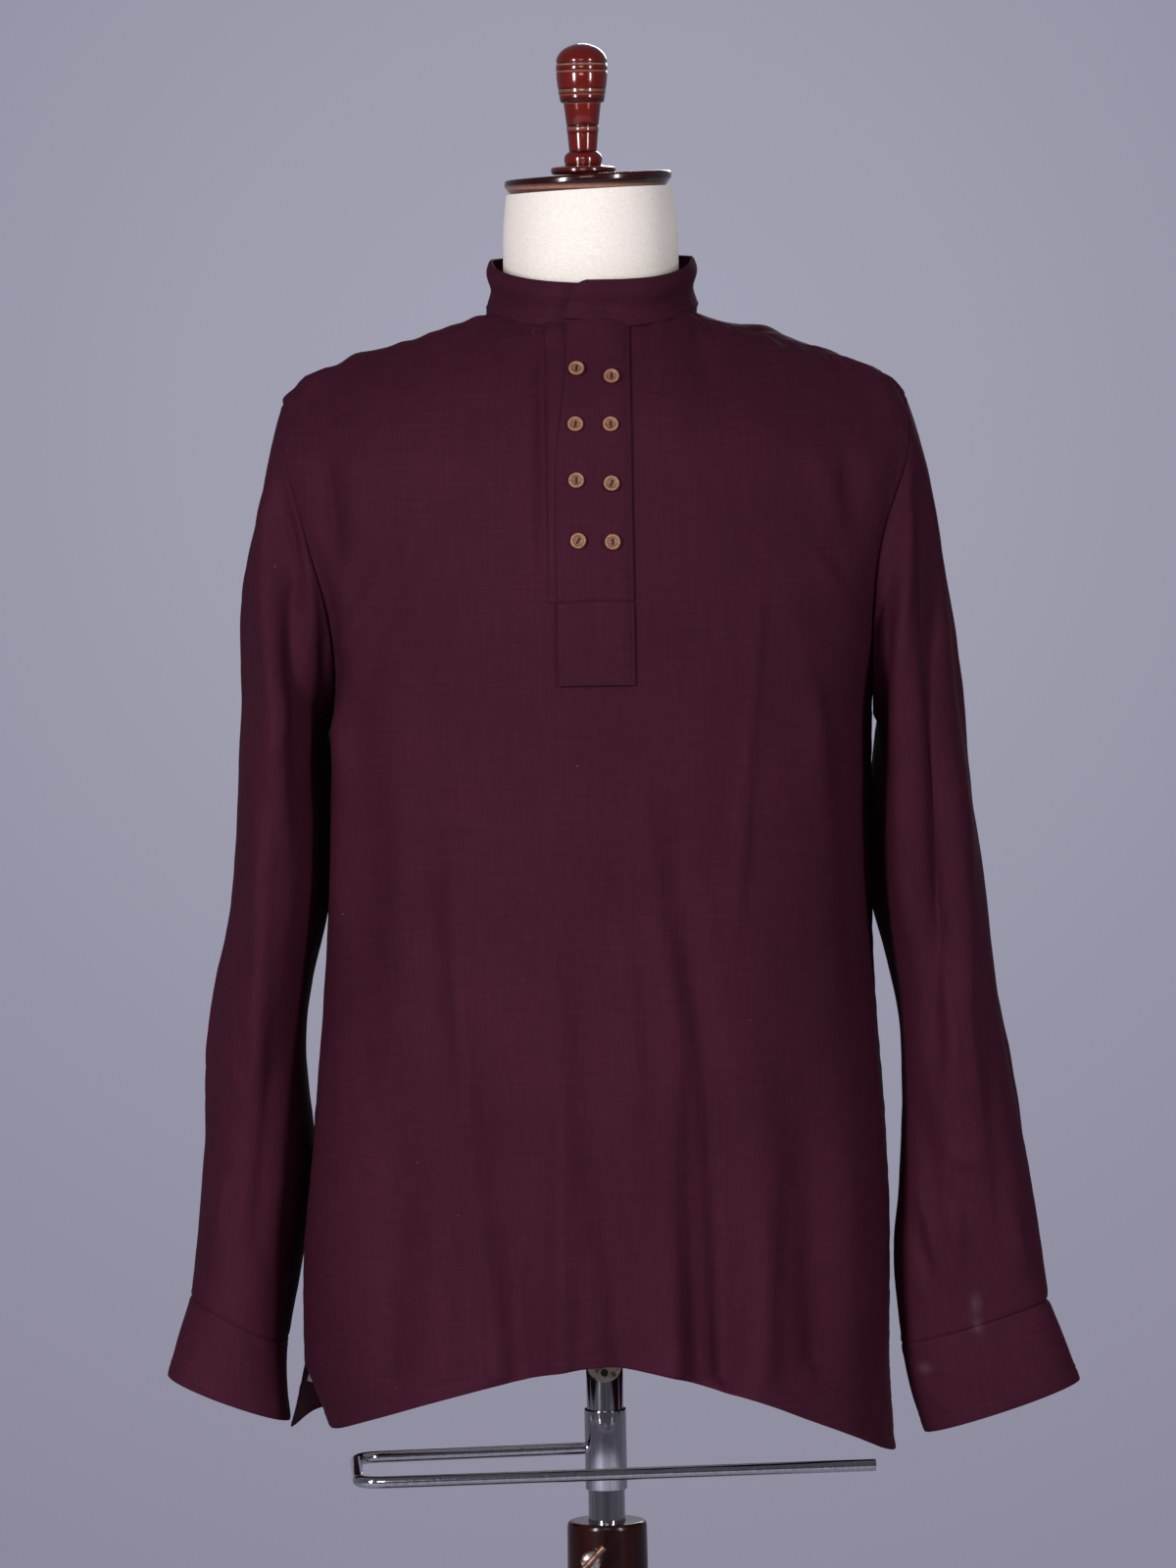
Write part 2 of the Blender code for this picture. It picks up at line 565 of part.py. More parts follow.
def sleeve_grid(side):
    cap = np.linspace(-1, 0, CAP_ROWS + 1)
    ts = np.concatenate([cap**3 * 0.35 + cap * 0.65, np.linspace(0, 1, SLEEVE_ROWS + 1)[1:]])
    grid_shares, grid_ts = np.meshgrid(armhole_shares(), ts)
    points = sleeve_point(side, grid_shares, grid_ts)
    return points, tube_normals(points, side)


def cuff_grid(side):
    grid_shares, grid_ts = np.meshgrid(armhole_shares(), CUFF_TS)
    points = tube(CUFFS[side], grid_shares, grid_ts)
    return points, tube_normals(points, side)


def build_garment(cloth, collection):
    """The body panels, sleeves and cuffs, which meet along shared seams."""
    vs = ARMHOLE_VS + LOWER_VS
    grids = {
        "front": panel_grid(vs, True),
        "yoke": panel_grid([v for v in vs if v <= YOKE_V], False),
        "back": panel_grid([v for v in vs if v >= YOKE_V], False),
    }
    body = list(grids.values())
    for side in ("left", "right"):
        grids[f"sleeve_{side}"] = sleeve_grid(side)
        grids[f"cuff_{side}"] = cuff_grid(side)
    sleeves = [[grids[f"sleeve_{side}"], grids[f"cuff_{side}"]] for side in ("left", "right")]
    share_normals([body] + sleeves)

    slit_column = len(SIDE_US) + 2
    slit = {(row, slit_column) for row, v in enumerate(vs) if v < PLACKET_V}
    cloth_wall("front", *grids["front"], ("top", "left", "right"), cloth, collection, skip=slit)
    cloth_wall("yoke", *grids["yoke"], ("top", "bottom", "left", "right"), cloth, collection)
    cloth_wall("back", *grids["back"], ("top", "left", "right"), cloth, collection)
    for side in ("left", "right"):
        name = f"sleeve_{side}"
        cloth_wall(name, *grids[name], ("top", "bottom"), cloth, collection, ring=True)
        name = f"cuff_{side}"
        cloth_wall(name, *grids[name], ("top",), cloth, collection, ring=True, thickness=BAND)


def overlap_raise(x):
    """The buttoned end of the opening sits a little high at the neck."""
    return OVERLAP_RAISE * smoothstep((0.034 - x) / 0.044)


def build_placket(cloth, collection):
    """Three pieces made from the front's own points, each moved out past the last."""
    vs = [v for v in ARMHOLE_VS if v <= BOX_V]
    first = len(SIDE_US)
    columns = {"under": (0, 3), "over": (1, 5)}
    under_lift = LAYER_GAP + CLOTH
    over_lift = under_lift + LAYER_GAP + CLOTH
    strips = (
        ("placket_under", "under", under_lift, [v for v in vs if v <= PLACKET_V], ("bottom",)),
        ("placket", "over", over_lift, [v for v in vs if v <= PLACKET_V], ("bottom",)),
        ("placket_box", "over", over_lift, [v for v in vs if v >= PLACKET_V], ("top",)),
    )
    neckline = panel_grid(vs[:1], True)[0][0, :, 2]
    for name, kind, lift, strip_vs, edges in strips:
        points, normals = panel_grid(strip_vs, True, lift)
        low, high = (first + end for end in columns[kind])
        points, normals = points[:, low:high].copy(), normals[:, low:high]
        if name == "placket":
            points[0, :, 2] = neckline[low:high] - LAYER_GAP + overlap_raise(points[0, :, 0])
        cloth_wall(name, points, normals, edges, cloth, collection)


COLLAR_PROFILE = ((0.0, 0.0), (0.3, -0.0020), (0.75, 0.0008), (1.0, -0.0016))


def collar_point(angle, share):
    """Outer face of the collar. The angle runs from the front round by the left."""
    turned = -np.radians(angle)
    base = neck_point(turned)
    outward = np.stack([-np.sin(np.radians(angle)), -np.cos(np.radians(angle)),
                        np.zeros_like(angle)], axis=-1)
    over = smoothstep((angle - 300.0) / 40.0)
    flare = spline(COLLAR_PROFILE, share)[..., 0] + over * OVERLAP_LIFT
    raised = overlap_raise(base[..., 0]) * (angle > 300.0)
    height = COLLAR_HEIGHT + COLLAR_BACK_RISE * ((1 - np.cos(np.radians(angle))) / 2)**2
    rise = 0.0007 + raised * (1 - share) + height * share
    lift = np.stack([np.zeros_like(rise), np.zeros_like(rise), rise], axis=-1)
    return base + outward * flare[..., None] + lift, outward


def build_collar(cloth, collection):
    along, grid_shares = np.meshgrid(np.linspace(0.0, 1.0, 34), (0.0, 0.3, 0.65, 1.0))
    end = OVERLAP_END - OVERLAP_SLANT * grid_shares
    grid_angles = OVERLAP_START + (end - OVERLAP_START) * along
    points, normals = collar_point(grid_angles, grid_shares)
    cloth_wall("collar", points, normals, (), cloth, collection, thickness=BAND)


# ---------------------------------------------------------------- turned and made parts
def turned(name, profile, material, collection, steps=28, closed=False):
    """Solid turned about Z. The profile is (radius, height) rows, down the outer side."""
    bm = bmesh.new()
    verts = [bm.verts.new((radius, 0.0, height)) for radius, height in profile]
    for first, second in zip(verts, verts[1:] + (verts[:1] if closed else [])):
        bm.edges.new((first, second))
    mesh = bpy.data.meshes.new(name)
    bm.to_mesh(mesh)
    bm.free()
    item = add_object(name, mesh, material, collection)
    screw = item.modifiers.new("turn", "SCREW")
    screw.steps = steps
    screw.render_steps = steps
    screw.use_merge_vertices = True
    screw.merge_threshold = 0.00005
    screw.use_smooth_shade = True
    return item


def cylinder(name, radius, low, high, material, collection, sides=28):
    bpy.ops.mesh.primitive_cylinder_add(vertices=sides, radius=radius, depth=high - low,
                                        location=(0, 0, (low + high) / 2))
    item = bpy.context.object
    item.name = name
    item.data.materials.append(material)
    move_to(item, collection)
    return item


def move_to(item, collection):
    for owner in list(item.users_collection):
        owner.objects.unlink(item)
    collection.objects.link(item)


def wire(name, points, radius, material, collection, resolution=3):
    """Round bar along a poly line, with filled ends."""
    curve = bpy.data.curves.new(name, "CURVE")
    curve.dimensions = "3D"
    curve.bevel_depth = radius
    curve.bevel_resolution = resolution
    curve.use_fill_caps = True
    run = curve.splines.new("POLY")
    run.points.add(len(points) - 1)
    for target, point in zip(run.points, points):
        target.co = (*point, 1.0)
    return add_object(name, curve, material, collection)


def rounded_route(corners, radius, arc_points=5):
    """Route through the corners, with each inner corner turned into an arc."""
    route = [Vector(corners[0])]
    for before, corner, after in zip(corners, corners[1:], corners[2:]):
        corner = Vector(corner)
        start = corner + (Vector(before) - corner).normalized() * radius
        end = corner + (Vector(after) - corner).normalized() * radius
        for step in range(arc_points + 1):
            s = step / arc_points
            route.append(start * (1 - s)**2 + corner * 2 * s * (1 - s) + end * s**2)
    return route + [Vector(corners[-1])]


def build_form(canvas, collection):
    sides = 28
    angles = np.linspace(0, 2 * math.pi, sides, endpoint=False)
    rings = []
    for row in FORM_RINGS:
        sine, cosine = rounded(angles, row.squareness)
        y_mid, depth = (row.y_front + row.y_back) / 2, (row.y_back - row.y_front) / 2
        rings.append(np.stack([row.x + row.half_width * cosine, y_mid + depth * sine,
                               np.full_like(angles, row.z)], axis=-1))
    bm = bmesh.new()
    loops = [[bm.verts.new(point) for point in ring] for ring in rings]
    for low, high in zip(loops, loops[1:]):
        for i in range(sides):
            j = (i + 1) % sides
            bm.faces.new((low[i], low[j], high[j], high[i]))
    bm.faces.new(loops[0][::-1])
    bm.faces.new(loops[-1])
    mesh = bpy.data.meshes.new("dress_form")
    bm.to_mesh(mesh)
    bm.free()
    add_object("dress_form", mesh, canvas, collection)


def build_neck_cap(wood, collection):
    low = 1.5303
    profile = [(0, CAP_TOP), (0.030, CAP_TOP), (CAP_RADIUS - 0.0012, CAP_TOP - 0.0006),
               (CAP_RADIUS, CAP_TOP - 0.0018), (CAP_RADIUS, CAP_TOP - 0.0050),
               (CAP_RADIUS - 0.0020, CAP_TOP - 0.0075), (CAP_RADIUS - 0.0040, low), (0, low)]
    turned("neck_cap", profile, wood, collection, steps=36).location.x = 0.0030


def build_finial(wood, collection):
    """Turned handle, from the dome down to the flange."""
    foot = CAP_TOP + SEAM_GAP
    profile = [(0, 1.6300), (0.0062, 1.6292), (0.0117, 1.6270), (0.0158, 1.6236),
               (0.0174, 1.6192), (0.0171, 1.6165), (0.0175, 1.6154), (0.0173, 1.6111),
               (0.0172, 1.6070), (0.0164, 1.5992), (0.0157, 1.5950), (0.0147, 1.5900),
               (0.0126, 1.5894), (0.0110, 1.5743), (0.0104, 1.5692), (0.0094, 1.5566),
               (0.0124, 1.5546), (0.0131, 1.5508), (0.0122, 1.5474),
               (0.0190, 1.5462), (0.0223, 1.5448), (0.0223, 1.5426), (0.0205, foot),
               (0, foot)]
    turned("finial", profile, wood, collection, steps=20)


def union(base, other):
    """Join two meshes into one closed body and drop the second."""
    join = base.modifiers.new("join", "BOOLEAN")
    join.operation = "UNION"
    join.solver = "EXACT"
    join.object = other
    bpy.context.view_layer.update()
    result = bpy.data.meshes.new_from_object(base.evaluated_get(
        bpy.context.evaluated_depsgraph_get()))
    base.modifiers.remove(join)
    base.data = result
    bpy.data.objects.remove(other)


def build_pole(chrome, paint, collection):
    cylinder("pole", POLE_RADIUS, POLE_END, POLE_TOP - SEAM_GAP, chrome, collection, 32)

    top = FORM_RINGS[0].z - SEAM_GAP
    mount = cylinder("pole_mount", 0.0185, POLE_TOP, top, paint, collection, 24)
    tab_front = -POLE_RADIUS - SEAM_GAP
    bpy.ops.mesh.primitive_cylinder_add(vertices=24, radius=0.0118, depth=0.0022,
                                        rotation=(math.pi / 2, 0, 0),
                                        location=(0, tab_front - 0.0011, POLE_TOP + 0.001))
    tab = bpy.context.object
    union(mount, tab)

    hole = BAR_COLLAR_RADIUS - 0.0014
    turned("bar_collar", [(BAR_COLLAR_RADIUS - 0.0003, BAR_COLLAR_TOP),
                          (BAR_COLLAR_RADIUS, BAR_COLLAR_TOP - 0.0006),
                          (BAR_COLLAR_RADIUS, BAR_COLLAR_END), (hole, BAR_COLLAR_END),
                          (hole, BAR_COLLAR_TOP)], chrome, collection, steps=32, closed=True)
    start = -BAR_COLLAR_RADIUS - SEAM_GAP
    corners = [(start, 0.0, BAR_Z), (-0.172, -0.026, BAR_Z), (-0.166, -0.142, BAR_Z),
               (0.182, -0.100, BAR_Z)]
    wire("trouser_bar", rounded_route(corners, 0.018), BAR_RADIUS, chrome, collection)


def build_stand(lacquer, steel, collection):
    foot = BASE_HEIGHT + SEAM_GAP
    column = [(BORE_RADIUS, COLUMN_TOP), (COLUMN_RADIUS - 0.0022, COLUMN_TOP),
              (COLUMN_RADIUS - 0.0005, COLUMN_TOP - 0.0012), (COLUMN_RADIUS, COLUMN_TOP - 0.0036),
              (COLUMN_RADIUS + 0.001, 0.520), (COLUMN_RADIUS + 0.003, 0.320),
              (COLUMN_RADIUS + 0.001, 0.180), (COLUMN_RADIUS + 0.006, 0.170),
              (COLUMN_RADIUS + 0.008, 0.160), (COLUMN_RADIUS + 0.006, 0.150),
              (COLUMN_RADIUS + 0.002, 0.140), (COLUMN_RADIUS + 0.008, 0.080),
              (COLUMN_RADIUS + 0.020, 0.048), (COLUMN_RADIUS + 0.022, foot), (0, foot),
              (0, BORE_END), (BORE_RADIUS, BORE_END)]
    turned("column", column, lacquer, collection, steps=28, closed=True)

    base = [(0, BASE_HEIGHT), (0.060, BASE_HEIGHT), (0.150, BASE_HEIGHT - 0.004),
            (BASE_RADIUS - 0.010, BASE_HEIGHT - 0.010), (BASE_RADIUS - 0.002, BASE_HEIGHT - 0.014),
            (BASE_RADIUS, 0.010), (BASE_RADIUS - 0.002, 0.001), (BASE_RADIUS - 0.004, 0.0),
            (0, 0)]
    turned("base", base, lacquer, collection, steps=36)

    face = -COLUMN_RADIUS - 0.0012
    knob = turned("clamp_knob", [(0, 0.0090), (0.0040, 0.0090), (0.0066, 0.0080),
                                 (0.0070, 0.0060), (0.0070, 0.0006), (0.0062, 0.0), (0, 0.0)],
                  steel, collection, steps=20)
    knob.location = (-0.0115, face, CLAMP_Z)
    knob.rotation_euler = (math.pi / 2, 0, 0)
    reach = face - 0.0090 - 0.0032
    wire("clamp_lever", [(-0.0025, reach, CLAMP_Z + 0.0110), (-0.0115, reach, CLAMP_Z + 0.0010),
                         (-0.0270, reach - 0.001, CLAMP_Z - 0.0140),
                         (-0.0370, reach - 0.003, CLAMP_Z - 0.0260)], 0.0023, steel,
         collection, resolution=2)


# ---------------------------------------------------------------- buttons and label
Button = namedtuple("Button", "x z spin")
BUTTONS = (
    Button(-0.0071, 1.4084, -10), Button(0.0163, 1.4028, 0),
    Button(-0.0084, 1.3713, -10), Button(0.0151, 1.3709, 5),
    Button(-0.0084, 1.3341, 0), Button(0.0150, 1.3317, -20),
    Button(-0.0078, 1.2942, -30), Button(0.0150, 1.2931, 0),
)


def front_at(x, z, lift):
    """Point and normal of the front where it has this x and z, found by stepping."""
    u, v = np.array([x / 0.3]), np.array([(1.44 - z) / 0.75])
    step = 0.001
    for _ in range(12):
        here = sheet(u, v, True, lift)[0][0]
        by_u = (sheet(u + step, v, True, lift)[0][0] - here) / step
        by_v = (sheet(u, v + step, True, lift)[0][0] - here) / step
        solve = np.array([[by_u[0], by_v[0]], [by_u[2], by_v[2]]])
        du, dv = np.linalg.solve(solve, [x - here[0], z - here[2]])
        u, v = u + du, v + dv
    point, normal = sheet(u, v, True, lift)
    return point[0], normal[0]


def build_buttons(wood, collection):
    rim = BUTTON_RADIUS
    profile = [(0, 0.0016), (0.0024, 0.0016), (0.0036, BUTTON_THICKNESS),
               (rim, 0.0016), (rim - 0.0008, 0.0), (0, 0.0)]
    seat = 2 * (LAYER_GAP + CLOTH) + LAYER_GAP
    for number, button in enumerate(BUTTONS, start=1):
        item = turned(f"button_{number}", profile, wood, collection, steps=12)
        point, normal = front_at(button.x, button.z, seat)
        facing = Vector(normal).to_track_quat("Z", "Y").to_matrix().to_4x4()
        spin = Matrix.Rotation(math.radians(button.spin), 4, "Z")
        item.matrix_world = Matrix.Translation(Vector(point)) @ facing @ spin


def build_label(tape, collection):
    """Blank care label in the left slit, sewn to the back's side edge."""
    bpy.ops.mesh.primitive_cube_add(size=1.0, location=(-0.1965, 0.030, 0.7130),
                                    rotation=(0, math.radians(18), math.radians(-6)),
                                    scale=(0.018, 0.0010, 0.009))
    item = bpy.context.object
    item.name = "care_label"
    item.data.materials.append(tape)
    move_to(item, collection)


def build():
    for item in list(bpy.data.objects):
        bpy.data.objects.remove(item)
    collection = bpy.data.collections.new("kurta_on_dress_form")
    bpy.context.scene.collection.children.link(collection)

    cloth = finish("wine_slub_cloth", (0.048, 0.010, 0.020), 0.85)
    canvas = finish("off_white_canvas", (0.86, 0.80, 0.76), 0.9)
    mahogany = finish("gloss_mahogany", (0.14, 0.012, 0.010), 0.15)
    lacquer = finish("dark_lacquer", (0.012, 0.004, 0.004), 0.2)
    chrome = finish("chrome_plate", (0.60, 0.60, 0.62), 0.15, 1.0)
    steel = finish("plated_steel", (0.55, 0.42, 0.34), 0.35, 1.0)
    paint = finish("beige_paint", (0.62, 0.58, 0.52), 0.5)
    button_wood = finish("button_wood", (0.33, 0.16, 0.11), 0.55)
    tape = finish("label_tape", (0.85, 0.85, 0.85), 0.8)

    build_garment(cloth, collection)
    build_placket(cloth, collection)
    build_collar(cloth, collection)
    build_buttons(button_wood, collection)
    build_label(tape, collection)
    build_form(canvas, collection)
    build_neck_cap(mahogany, collection)
    build_finial(mahogany, collection)
    build_pole(chrome, paint, collection)
    build_stand(lacquer, steel, collection)


build()
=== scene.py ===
# %% [markdown]
# # A kurta tunic on a tailor's dress form
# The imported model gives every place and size, and this lesson gives the looks. The real
# things are a wine-coloured kurta of a light plain weave, a padded form covered in
# off-white jersey, a turned and polished wooden cap and handle, and a chrome pole in a
# lacquered wooden column. The frame comes first, because each piece is made to fit it.

# %% Load the frame
import math
from collections import namedtuple

import bmesh
import bpy
import numpy as np
from mathutils import Matrix, Vector, noise


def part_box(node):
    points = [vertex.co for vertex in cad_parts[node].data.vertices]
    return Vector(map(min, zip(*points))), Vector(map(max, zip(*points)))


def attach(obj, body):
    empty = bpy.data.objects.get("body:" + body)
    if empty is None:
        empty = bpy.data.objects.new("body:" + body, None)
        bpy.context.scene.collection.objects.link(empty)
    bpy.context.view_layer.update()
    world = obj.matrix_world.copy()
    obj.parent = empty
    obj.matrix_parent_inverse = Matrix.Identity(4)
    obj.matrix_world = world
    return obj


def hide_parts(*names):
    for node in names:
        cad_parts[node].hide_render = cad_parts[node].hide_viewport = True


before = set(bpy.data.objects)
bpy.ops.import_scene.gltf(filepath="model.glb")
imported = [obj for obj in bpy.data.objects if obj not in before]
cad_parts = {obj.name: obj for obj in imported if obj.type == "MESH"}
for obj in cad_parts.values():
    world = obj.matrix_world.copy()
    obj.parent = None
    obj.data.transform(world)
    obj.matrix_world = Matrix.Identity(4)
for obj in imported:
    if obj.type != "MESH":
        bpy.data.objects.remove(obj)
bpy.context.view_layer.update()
MM = 0.001

# %% [markdown]
# The camera stands five metres away with a long lens, as for a catalogue picture, so that
# the garment keeps true proportions. It leans by one degree, because the stand does not
# quite follow the picture's edge. A lens of 171 mm on a 36 mm frame sees 1.07 m at that
# distance.

# %% Camera
LENS_HEIGHT = 1.42
LENS_DISTANCE = 5.10
LENS_SIDEWAYS = -0.0042
LOOKS_DOWN = math.radians(3.32)
LEANS = math.radians(1.01)

camera_data = bpy.data.cameras.new("catalogue_camera")
camera_data.lens = 171.0
camera_data.sensor_width = 36.0
camera_data.clip_end = 60.0
camera = bpy.data.objects.new("catalogue_camera", camera_data)
bpy.context.scene.collection.objects.link(camera)
camera.location = (LENS_SIDEWAYS, -LENS_DISTANCE, LENS_HEIGHT)
aim = Matrix.Rotation(math.pi / 2 - LOOKS_DOWN, 4, "X") @ Matrix.Rotation(-LEANS, 4, "Z")
camera.rotation_euler = aim.to_euler()
bpy.context.scene.camera = camera
bpy.context.scene.view_settings.view_transform = "Standard"
print("camera:", [round(value, 2) for value in camera.location])

# %% [markdown]
# Colours are written as on a screen, in hex. Blender's shaders count light in a linear
# way, so one function turns the first into the second. A second small function adds a
# node with its settings, its values and its links, and it is the only way that nodes are
# made below.

# %% Colour and node helpers
def linear(hex_colour):
    """Linear colour of an sRGB hex value such as #3e1b29."""
    parts = [int(hex_colour[i:i + 2], 16) / 255 for i in (1, 3, 5)]
    return [p / 12.92 if p <= 0.04045 else ((p + 0.055) / 1.055)**2.4 for p in parts] + [1.0]


def add_node(tree, kind, settings=None, inputs=None, stops=None):
    """One node. An input takes a value or another node's output; stops fill a colour ramp."""
    made = tree.nodes.new(kind)
    for name, value in (settings or {}).items():
        setattr(made, name, value)
    for name, value in (inputs or {}).items():
        if isinstance(value, bpy.types.NodeSocket):
            tree.links.new(value, made.inputs[name])
        else:
            made.inputs[name].default_value = value
    for index, (place, colour) in enumerate(stops or []):
        ramp = made.color_ramp.elements
        stop = ramp[index] if index < 2 else ramp.new(place)
        stop.position = place
        stop.color = linear(colour)
    return made


def new_finish(name, roughness, **sockets):
    """A material with its shader. Constant sockets are set here, by their names."""
    material = bpy.data.materials.new(name)
    material.use_nodes = True
    tree = material.node_tree
    shader = tree.nodes["Principled BSDF"]
    shader.inputs["Roughness"].default_value = roughness
    for socket, value in sockets.items():
        shader.inputs[socket.replace("_", " ")].default_value = value
    return material, tree, shader


def noise_tone(tree, scale, detail, stops, stretch=None):
    """Colours laid out by a noise pattern, and the pattern's own output. stretch is a scale
    for each axis."""
    place = add_node(tree, "ShaderNodeTexCoord").outputs["Object"]
    if stretch:
        place = add_node(tree, "ShaderNodeMapping", {"vector_type": "POINT"},
                         {"Vector": place, "Scale": stretch}).outputs["Vector"]
    pattern = add_node(tree, "ShaderNodeTexNoise", None,
                       {"Vector": place, "Scale": scale, "Detail": detail}).outputs["Fac"]
    ramp = add_node(tree, "ShaderNodeValToRGB", None, {"Fac": pattern}, stops)
    return ramp.outputs["Color"], pattern


def specked(tree, ground, scale, size, colour):
    """Small round specks of a colour on a ground, one to a cell of the scale."""
    place = add_node(tree, "ShaderNodeTexCoord").outputs["Object"]
    cells = add_node(tree, "ShaderNodeTexVoronoi", None, {"Vector": place, "Scale": scale})
    speck = add_node(tree, "ShaderNodeMath", {"operation": "LESS_THAN"},
                     {0: cells.outputs["Distance"], 1: size})
    mix = add_node(tree, "ShaderNodeMixRGB", None,
                   {"Fac": speck.outputs[0], "Color1": ground, "Color2": linear(colour)})
    return mix.outputs["Color"]


def multiplied(tree, share, first, second):
    """The first colour, darkened by a share of the second."""
    mix = add_node(tree, "ShaderNodeMixRGB", {"blend_type": "MULTIPLY"},
                   {"Fac": share, "Color1": first, "Color2": second})
    return mix.outputs["Color"]


def new_item(name, bm, material, prefix="look_"):
    """A smooth-shaded object from a bmesh, which is freed."""
    for face in bm.faces:
        face.smooth = True
    mesh = bpy.data.meshes.new(name)
    bm.to_mesh(mesh)
    bm.free()
    mesh.materials.append(material)
    item = bpy.data.objects.new(prefix + name, mesh)
    bpy.context.scene.collection.objects.link(item)
    return item


print("dark wine is", [round(value, 3) for value in linear("#3e1b29")])

# %% [markdown]
# The room is a plain cool grey sweep, brightest behind the chest and a little darker
# towards the corners. A world that reads the direction of each ray gives this from every
# side. The floor is a pale round sheet that ends before the camera's lower edge.
# Two tall soft boxes stand at the left and the right, and the left one is the stronger, so
# that each fold has a brighter left flank. They also draw the long highlights on polished
# wood and chrome. A wide box in front and one behind open the shadows.

# %% Room and lights
def build_room():
    world = bpy.data.worlds.new("grey_sweep")
    bpy.context.scene.world = world
    world.use_nodes = True
    tree = world.node_tree
    ray = add_node(tree, "ShaderNodeTexCoord")
    glow = Vector((0.0, 1.0, -0.010)).normalized()
    away = add_node(tree, "ShaderNodeVectorMath", {"operation": "DISTANCE"},
                    {0: ray.outputs["Generated"], 1: glow})
    half = add_node(tree, "ShaderNodeMath", {"operation": "MULTIPLY"},
                    {0: away.outputs["Value"], 1: 0.5})
    shade = add_node(tree, "ShaderNodeValToRGB", None, {"Fac": half.outputs["Value"]},
                     [(0.0, "#a4a3b5"), (1.0, "#45444c"), (0.028, "#9e9dae"),
                      (0.052, "#9594a6"), (0.085, "#8b899b"), (0.30, "#6c6a76")])
    sky = tree.nodes["Background"]
    tree.links.new(shade.outputs["Color"], sky.inputs["Color"])
    sky.inputs["Strength"].default_value = 1.0

    bm = bmesh.new()
    bmesh.ops.create_circle(bm, cap_ends=True, segments=96, radius=3.2)
    mesh = bpy.data.meshes.new("floor")
    bm.to_mesh(mesh)
    bm.free()
    floor = bpy.data.objects.new("floor", mesh)
    bpy.context.scene.collection.objects.link(floor)
    floor.location.z = -0.0005
    paper = new_finish("grey_paper_floor", 0.9, Base_Color=linear("#a2a1b0"))[0]
    mesh.materials.append(paper)


def add_soft_box(name, place, target, size, power, colour="#ffffff"):
    lamp = bpy.data.lights.new(name, "AREA")
    lamp.shape = "RECTANGLE"
    lamp.size, lamp.size_y = size
    lamp.energy = power
    lamp.color = linear(colour)[:3]
    stand = bpy.data.objects.new(name, lamp)
    bpy.context.scene.collection.objects.link(stand)
    stand.location = place
    turn = (Vector(target) - Vector(place)).to_track_quat("-Z", "Y")
    stand.rotation_euler = turn.to_euler()


build_room()
add_soft_box("left_key", (-2.07, -2.95, 1.90), (0, 0, 1.20), (0.55, 2.0), 97)
add_soft_box("right_key", (2.25, -2.68, 1.90), (0, 0, 1.20), (0.38, 2.0), 45)
add_soft_box("front_fill", (-0.2, -4.4, 2.60), (0, 0, 1.10), (1.4, 1.0), 22)
add_soft_box("back_fill", (0.8, 3.8, 2.60), (0, 0, 1.10), (1.8, 1.2), 30)
print("lights:", [light.name for light in bpy.data.lights])

# %% [markdown]
# ## The cut of the kurta
# The tables give the garment as it hangs. They were measured along the panels' edges, and
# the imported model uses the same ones, so the cloth here lands on its solids. Each panel is
# described by two numbers: u across it, from seam to seam, and v down it, from the neck to
# the hem. A shape that is a function can be sampled coarsely for the solid and finely here.

# %% Tables of the cut
CLOTH = 0.0012            # wall of one cloth panel
SEAM_GAP = 0.0003         # gap between neighbouring pieces
LAYER_GAP = 0.0004        # gap under a piece that lies on a panel

NECK_X = 0.0045           # the neck opening sits a little to the right of the stand's axis
NECK_HALF_WIDTH = 0.0715
NECK_FRONT = 0.072        # depth of the neck opening in front of the axis
NECK_BACK = 0.068
NECK_SIDE_Z = 1.4535
NECK_FRONT_DROP = 0.016
NECK_BACK_DROP = 0.001
NECK_SHARE = 0.30         # part of a panel's half width that the neck takes
SEAM_ANGLE = math.radians(66)   # where the front yoke seam leaves the neck

COLLAR_HEIGHT = 0.0285
COLLAR_BACK_RISE = 0.0055  # the band stands taller at the back
OVERLAP_START = -24       # degrees, the lower end, under the overlap
OVERLAP_END = 374.5       # degrees, the foot of the upper end, past the front middle
OVERLAP_SLANT = 6.5       # degrees by which the upper end leans back at its top
OVERLAP_LIFT = 0.0026     # how far the upper end stands outside the lower one
OVERLAP_RAISE = 0.006     # the upper end is buttoned a little high

UNDERARM_V = 0.37
SLIT_V = 0.94
YOKE_V = 0.12             # the yoke ends here on the back
SHEET_WIDTH = 0.29        # nominal half width of a panel along the cloth, for fold widths

PLACKET_LEFT = -0.0226    # free edge of the placket
PLACKET_TOP_LEFT = -0.013  # its free edge slants inward at the neck
PLACKET_RIGHT = 0.0292
UNDER_PLACKET_LEFT = -0.0282
SLIT_HALF = 0.0006        # half width of the neck slit under the placket
PLACKET_V = 0.27          # seam between the placket and its box
BOX_V = 0.34              # lower end of the box

BUTTON_RADIUS = 0.0055
BUTTON_THICKNESS = 0.0026

NECK_RADIUS = 0.0600      # of the dress form
CAP_RADIUS = 0.0572
CAP_TOP = 1.5405
POLE_RADIUS = 0.0127
COLUMN_TOP = 0.6155
COLUMN_RADIUS = 0.0275
BORE_RADIUS = 0.0132
BORE_END = 0.268
BASE_RADIUS = 0.200
BASE_HEIGHT = 0.030
BAR_Z = 0.6655
BAR_RADIUS = 0.0041
BAR_COLLAR_RADIUS = 0.0145
CLAMP_Z = 0.592

